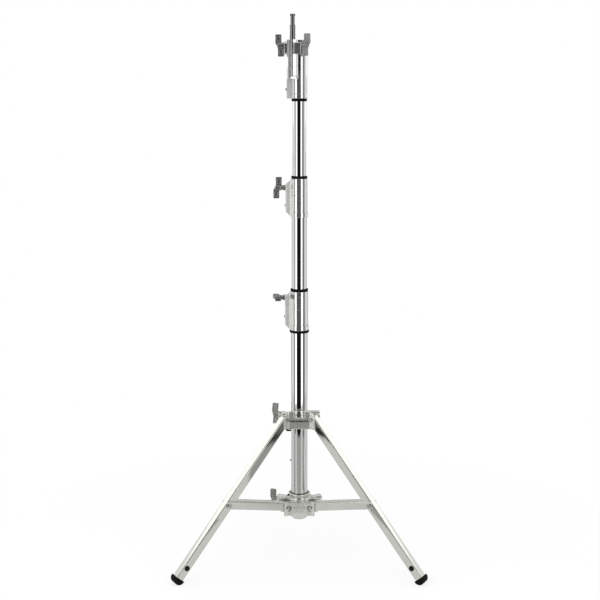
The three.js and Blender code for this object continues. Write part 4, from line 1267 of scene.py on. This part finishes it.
def head_casting(sizes, casting_sizes):
    """The head: receiver barrel, stud sleeve with its slit, two screw lugs, and the heel lug."""
    low, _, tall = round_size("head_casting")
    lip = sizes.lip / MM
    skirt = 24
    radius = 23.4
    neck = radius - 1.5
    riser_bore = 20.3
    stud_bore = 8.3
    floor = 66
    sleeve_foot = 55
    beyond = tall + 2
    screw = joint_place("receiver_screw_turn")
    screw_z = (screw.z - low) / MM
    lug_z = tall - 22
    lug_reach = (AXIS.x - screw.x) / MM - GAP
    stud_axis = middle("sliding_stud")
    aside = (stud_axis - AXIS) / MM
    sleeve_screw = joint("stud_screw_turn")
    sleeve_azimuth = math.atan2(sleeve_screw["axis"][1], sleeve_screw["axis"][0])
    sleeve_reach = (Vector(sleeve_screw["pos_m"]) - stud_axis).xy.length / MM - GAP
    boss = casting_sizes.boss / MM
    lug_tall = casting_sizes.lug_height / MM
    barrel = [(0, 0, 0), (skirt - 0.4, 0, 0.6), (skirt, 1, 0.6), (skirt, 11, lip)]
    barrel += [(neck, 11.5, 0.2), (neck, 13.2, 0.2), (radius, 13.5, lip)]
    barrel += [(radius, tall - 0.8, 0.6), (radius - 0.8, tall, 0.6), (0, tall, 0)]

    def at_sleeve(mesh):
        return moved(mesh, aside.x, aside.y)

    wedge = [(stud_bore, boss, 0), (sleeve_reach, boss, 2), (sleeve_reach, 1 - boss, 2)]
    wedge += [(14, -boss - 5, 2), (stud_bore, -boss - 5, 0)]
    wedge = moved(prism(wedge, lug_z - lug_tall / 2, lug_z + lug_tall / 2 - 5, 3), azimuth=sleeve_azimuth)
    heel = [(-36.6, 0, 1.5), (-RECEIVER, 0, 0), (-RECEIVER, 57, 0), (-33.6, 57, 2), (-36.6, 54, 2)]
    button = laid(turned([(0, 0, 0), (4.2, 0, 0), (4.2, 2.4, 1.4), (0, 3.4, 0)], 40), "X")
    shell = joined(
        turned(barrel, FINE),
        at_sleeve(stud_sleeve(sleeve_foot, tall, sizes)),
        screw_lug(RECEIVER - 1, lug_reach, math.pi, lug_z, boss, lug_tall),
        at_sleeve(wedge),
        upright(heel, -8, 8, 1.5),
        at_sleeve(moved(button, x=14.6, z=sleeve_foot + 5, azimuth=math.radians(-33))),
    )
    slot = half_round(1.5, 0, floor + 60, 0, 12) + half_round(1.5, 0, floor + 6, math.pi, 12)
    slit_foot = sleeve_foot + 6
    slit_half = 1.2
    slit = [(-slit_half, slit_foot, 1), (9, slit_foot, 1), (9, slit_foot + 2.2, 1)]
    slit += [(slit_half, slit_foot + 2.2, 1), (slit_half, beyond, 0), (-slit_half, beyond, 0)]
    receiver = [(0, floor, 0), (RECEIVER, floor, 0), (RECEIVER, tall - 1, 0)]
    receiver += [(RECEIVER + 3, beyond, 0), (0, beyond, 0)]
    stud_hole = [(0, slit_foot, 0), (stud_bore, slit_foot, 0), (stud_bore, tall - 0.8, 0)]
    stud_hole += [(stud_bore + 2.8, beyond, 0), (0, beyond, 0)]
    tools = [
        turned([(0, -2, 0), (riser_bore, -2, 0), (riser_bore, 50, 0), (0, 50, 0)]),
        turned(receiver),
        at_sleeve(turned(stud_hole, 64)),
        at_sleeve(upright(slit, -20, -4)),
        screw_tool(lug_reach, math.pi, screw_z),
        at_sleeve(screw_tool(sleeve_reach, sleeve_azimuth, screw_z)),
        moved(rod(CAP_BORE, -40, -26.6, "X", 32), z=26),
        upright(slot, -26, -7),
    ]
    piece("head_plated", cut(shell, *tools), "chrome_casting", "riser_2", ["head_casting"], on_axis(low),
          crease=32, as_cast=lambda spot: spot.x < -(skirt + 0.3) * MM and spot.z < 0.06)


def sliding_stud():
    """The 16 mm stud: flange, necked waist, plain shank."""
    node = "sliding_stud"
    tall = span(node).z
    radius = 8
    waist = 6.3
    flange = tall - 5.5
    neck = flange - 24
    profile = [(0, 0, 0), (7, 0, 0.5), (radius, 1, 0.5), (radius, neck - 2, 0.5), (waist, neck, 1)]
    profile += [(waist, flange - 0.6, 0.8), (7.6, flange, 0.3), (radius, flange + 0.5, 0.3)]
    profile += [(radius, tall - 1, 0.5), (7, tall, 0.5), (0, tall, 0)]
    piece(node + "_turned", turned(profile, 80), "steel", "stud", [node], foot_of(node), slot="chrome")


# Stage
# The upright cards round the stand: azimuth and spread in degrees, then distance, foot, top and brightness
CARDS = {
    "flag_front": (-5.5, 59, 1.24, 0, 2.6, 0.01),
    "flag_left": (-68.5, 17, 1.7, 0, 2.6, 0.22),
    "flag_right": (63, 34, 1.7, 0, 2.6, 0.25),
    "wall_back": (180, 110, 1.8, 0, 1.2, 0.68),
    "flag_back": (180, 30, 2.1, 0, 2.6, 0.03),
    "kerb_left": (-57, 14, 1.33, 0, 0.045, 0.01),
    "wall_left": (-57, 14, 1.33, 0.045, 0.15, 0.2),
    "kerb_right": (57, 14, 1.247, 0, 0.042, 0.01),
    "wall_right": (57, 14, 1.247, 0.042, 0.15, 0.2),
    "sky_left": (-124, 36, 4, 1.45, 2.6, 1.5),
    "sky_right": (124, 36, 4, 1.45, 2.6, 1.5),
}
# Grey cards on the floor, as places from the column's foot, each with its height and brightness
FLOOR_CARDS = {
    "floor_around": ([(-2.4, -1.34), (2.4, -1.34), (2.4, 1.2), (-2.4, 1.2)], 0.001, 0.8),
    "floor_left": ([(-1.47, -0.85), (-0.43, -0.25), (-0.49, -0.11), (-1.66, -0.38)], 0.002, 0.42),
    "floor_right": ([(1.22, -1.18), (1.5, -0.8), (0.44, -0.23), (0.36, -0.35)], 0.002, 0.42),
    "floor_front": ([(-0.94, -1.34), (0.6, -1.34), (0.16, -0.42), (-0.26, -0.42)], 0.002, 0.46),
}


def glossy_card(name, azimuth, spread, distance, low, high, brightness):
    """An upright card that only shiny surfaces show. The azimuth is from the camera's side."""
    turn = math.radians(azimuth)
    centre = AXIS + Vector((math.sin(turn), -math.cos(turn), 0)) * distance
    aside = Vector((math.cos(turn), math.sin(turn), 0)) * distance * math.tan(math.radians(spread / 2))
    left = centre - aside
    right = centre + aside
    card_object(name, [(*left.xy, low), (*right.xy, low), (*right.xy, high), (*left.xy, high)], brightness)


def card_object(name, spots, brightness):
    """A flat card that only shiny surfaces show, of an even grey."""
    mesh = bpy.data.meshes.new(name)
    mesh.from_pydata(spots, [], [(0, 1, 2, 3)])
    material = bpy.data.materials.new(name)
    tree = emptied(material)
    glow = add_node(tree, "ShaderNodeEmission", {"Color": (1, 1, 1, 1), "Strength": brightness})
    add_node(tree, "ShaderNodeOutputMaterial", {"Surface": glow.outputs[0]})
    mesh.materials.append(material)
    obj = linked(name, mesh)
    obj.visible_camera = False
    obj.visible_diffuse = False
    obj.visible_transmission = False
    obj.visible_volume_scatter = False
    obj.visible_shadow = False


def softbox(name, azimuth, width, brightness):
    """A soft area lamp turned to the stand. The azimuth is from the camera's side, the sizes in metres."""
    distance = 1.9
    height = 2.3
    lift = Vector((0, 0, 1.2))
    turn = math.radians(azimuth)
    spot = AXIS + Vector((math.sin(turn), -math.cos(turn), 0)) * distance + lift
    lamp = bpy.data.lights.new(name, "AREA")
    lamp.shape = "RECTANGLE"
    lamp.size = width
    lamp.size_y = height
    lamp.energy = brightness * math.pi * width * height
    obj = linked(name, lamp)
    obj.rotation_euler = (AXIS + lift - spot).to_track_quat("-Z", "Y").to_euler()
    obj.location = spot
    obj.visible_camera = False


def white_when_seen(tree, plain, light, share):
    """A shader that is white to the camera and in reflections, by a share, and plain to other light."""
    path = add_node(tree, "ShaderNodeLightPath")
    seen = path.outputs["Is Camera Ray"]
    for ray in ("Is Glossy Ray", "Is Transmission Ray"):
        either = {0: seen, 1: path.outputs[ray]}
        seen = add_node(tree, "ShaderNodeMath", either, operation="MAXIMUM").outputs[0]
    factor = add_node(tree, "ShaderNodeMath", {0: seen, 1: share}, operation="MULTIPLY")
    white = add_node(tree, light, {"Color": (1, 1, 1, 1), "Strength": 1.0})
    shaders = {0: factor.outputs[0], 1: plain, 2: white.outputs[0]}
    return add_node(tree, "ShaderNodeMixShader", shaders).outputs[0]


def build_world(settings):
    """A white surround."""
    world = bpy.data.worlds.new("studio")
    tree = emptied(world)
    plain = add_node(tree, "ShaderNodeBackground", {"Color": (1, 1, 1, 1), "Strength": settings.daylight})
    mix = white_when_seen(tree, plain.outputs[0], "ShaderNodeBackground", 1.0)
    add_node(tree, "ShaderNodeOutputWorld", {"Surface": mix})
    bpy.context.scene.world = world


def build_floor(settings):
    """A plain pale floor that keeps the stand's shadow near its feet and is white further out."""
    half = settings.floor / 2
    mesh = bpy.data.meshes.new("floor")
    mesh.from_pydata([(x, y, 0) for x, y, _ in rectangle(half, half)], [], [(0, 1, 2, 3)])
    material = bpy.data.materials.new("studio_floor_paper")
    tree = emptied(material)
    paper = add_node(tree, "ShaderNodeBsdfDiffuse", {"Color": (*linear("#F4F4F4"), 1)})
    places = {0: object_coordinates(tree), 1: tuple(AXIS)}
    reach = add_node(tree, "ShaderNodeVectorMath", places, operation="DISTANCE").outputs["Value"]
    share = ranged(tree, reach, 0.75, 1.0, 0.6, 1.2)
    mix = white_when_seen(tree, paper.outputs[0], "ShaderNodeEmission", share)
    add_node(tree, "ShaderNodeOutputMaterial", {"Surface": mix})
    mesh.materials.append(material)
    linked("floor", mesh)


def build_camera():
    """The camera, at the photograph's place and lens for a square frame of 600 pixels."""
    aside = 2.05 * MM
    distance = 3.34
    height = 1.346
    down = math.radians(9.3)
    camera = bpy.data.cameras.new("camera")
    camera.sensor_width = 36
    camera.lens = 68.58
    obj = linked("camera", camera)
    obj.location = (aside, AXIS.y - distance, height)
    obj.rotation_euler = (math.pi / 2 - down, 0, 0)
    bpy.context.scene.camera = obj


# Operators
class STAND_OT_stage(bpy.types.Operator):
    """Build the camera, floor, softboxes and reflection cards"""

    bl_idname = "stand.stage"
    bl_label = "Stage"

    def execute(self, context):
        settings = context.scene.stand_stage
        build_camera()
        build_world(settings)
        build_floor(settings)
        softbox("softbox_left", -52, 1.2, settings.softbox_left)
        softbox("softbox_right", 33, 0.85, settings.softbox_right)
        for name, values in CARDS.items():
            glossy_card(name, *values)
        for name, (places, height, brightness) in FLOOR_CARDS.items():
            card_object(name, [(x, AXIS.y + y, height) for x, y in places], brightness)
        context.scene.view_settings.view_transform = "Standard"
        return {"FINISHED"}


class STAND_OT_column(bpy.types.Operator):
    """Build the column's tubes, bushes, rings, plug and small screws"""

    bl_idname = "stand.column"
    bl_label = "Column"

    def execute(self, context):
        sizes = context.scene.stand_column
        tube("base_column_tube", "base", sizes)
        tube("riser_1_tube", "riser_1", sizes)
        tube("riser_2_tube", "riser_2", sizes)
        riser_bush("riser_1_bush", "riser_1", sizes)
        riser_bush("riser_2_bush", "riser_2", sizes)
        rubber_ring("collar_1_foot_ring", "base", COLUMN_BORE, sizes)
        rubber_ring("collar_1_top_ring", "base", 23, sizes)
        rubber_ring("collar_2_top_ring", "riser_1", 20.5, sizes)
        rubber_ring("head_ring", "riser_2", 20.3, sizes)
        end_plug()
        stop_stud()
        lower_bush(sizes)
        set_screw()
        return {"FINISHED"}


class STAND_OT_collars(bpy.types.Operator):
    """Build the two clamping collars with their pads and cap screws"""

    bl_idname = "stand.collars"
    bl_label = "Collars"

    def execute(self, context):
        sizes = context.scene.stand_column
        collar("collar_1", "base", sizes, bore=23, socket=COLUMN_BORE, skirt=27.6, wall=26.3, screw_height=40)
        collar("collar_2", "riser_1", sizes, bore=20.5, socket=22.8, skirt=25.1, wall=23.8, screw_height=35)
        brake_pad("collar_1_pad", "base")
        brake_pad("collar_2_pad", "riser_1")
        cap_screw("collar_1_lug_screw", "base", "zinc")
        cap_screw("collar_2_lug_screw", "riser_1", "zinc")
        return {"FINISHED"}


class STAND_OT_castings(bpy.types.Operator):
    """Build the two spider castings and the bumper"""

    bl_idname = "stand.castings"
    bl_label = "Spider castings"

    def execute(self, context):
        sizes = context.scene.stand_castings
        lower_casting(sizes)
        upper_casting(sizes)
        bumper()
        return {"FINISHED"}


class STAND_OT_legs(bpy.types.Operator):
    """Build the legs, feet, braces and bolts"""

    bl_idname = "stand.legs"
    bl_label = "Legs and braces"

    def execute(self, context):
        sizes = context.scene.stand_linkage
        for name, brace_name, azimuth in zip(LEGS, BRACES, LEG_AZIMUTHS):
            leg_tube(name, azimuth, sizes)
            foot(name, azimuth)
            brace(brace_name, azimuth, sizes)
            foot_pin, brace_bolt = (
                leg_place(azimuth) @ Matrix.Translation((0, 0, z * MM))
                for z in (FOOT_PIN_RISE - FOOT_REACH, -LEG_SPAN)
            )
            pin(f"{name}_foot_pin", name, foot_pin, "nylon", along=12.8, head=8, height=1.5)
            pin(f"{name}_brace_bolt", name, brace_bolt, "zinc", along=15.2, head=7.25, height=3.2, socket=2.6)
        pivot_bolts(sizes)
        return {"FINISHED"}


class STAND_OT_handles(bpy.types.Operator):
    """Build the six T-handles"""

    bl_idname = "stand.handles"
    bl_label = "T-handles"

    def execute(self, context):
        for node, values in HANDLES.items():
            handle(node, *values, context.scene.stand_handles)
        return {"FINISHED"}


class STAND_OT_head(bpy.types.Operator):
    """Build the head, its screw and the sliding stud"""

    bl_idname = "stand.head"
    bl_label = "Head and stud"

    def execute(self, context):
        head_casting(context.scene.stand_column, context.scene.stand_castings)
        cap_screw("head_heel_screw", "riser_2", "nylon")
        sliding_stud()
        return {"FINISHED"}


class STAND_PT_panel(bpy.types.Panel):
    """Steps that build the combo stand"""

    bl_idname = "STAND_PT_panel"
    bl_label = "Combo stand"
    bl_space_type = "VIEW_3D"
    bl_region_type = "UI"
    bl_category = "Combo stand"

    def draw(self, context):
        for operator in OPERATORS:
            self.layout.operator(operator.bl_idname)
        for name in GROUPS:
            box = self.layout.box()
            for key in getattr(context.scene, name).__annotations__:
                box.prop(getattr(context.scene, name), key)


OPERATORS = (
    STAND_OT_stage,
    STAND_OT_column,
    STAND_OT_collars,
    STAND_OT_castings,
    STAND_OT_legs,
    STAND_OT_handles,
    STAND_OT_head,
)
GROUPS = {
    "stand_colours": STAND_PG_colours,
    "stand_column": STAND_PG_column,
    "stand_linkage": STAND_PG_linkage,
    "stand_castings": STAND_PG_castings,
    "stand_handles": STAND_PG_handles,
    "stand_stage": STAND_PG_stage,
}


def register():
    for group in GROUPS.values():
        bpy.utils.register_class(group)
    for operator in OPERATORS:
        bpy.utils.register_class(operator)
    bpy.utils.register_class(STAND_PT_panel)
    for name, group in GROUPS.items():
        setattr(bpy.types.Scene, name, bpy.props.PointerProperty(type=group))


def unregister():
    for name in GROUPS:
        delattr(bpy.types.Scene, name)
    bpy.utils.unregister_class(STAND_PT_panel)
    for cls in reversed((*GROUPS.values(), *OPERATORS)):
        bpy.utils.unregister_class(cls)


def main():
    register()
    bpy.ops.stand.stage()
    bpy.ops.stand.column()
    bpy.ops.stand.collars()
    bpy.ops.stand.castings()
    bpy.ops.stand.legs()
    bpy.ops.stand.handles()
    bpy.ops.stand.head()


if __name__ == "__main__":
    main()
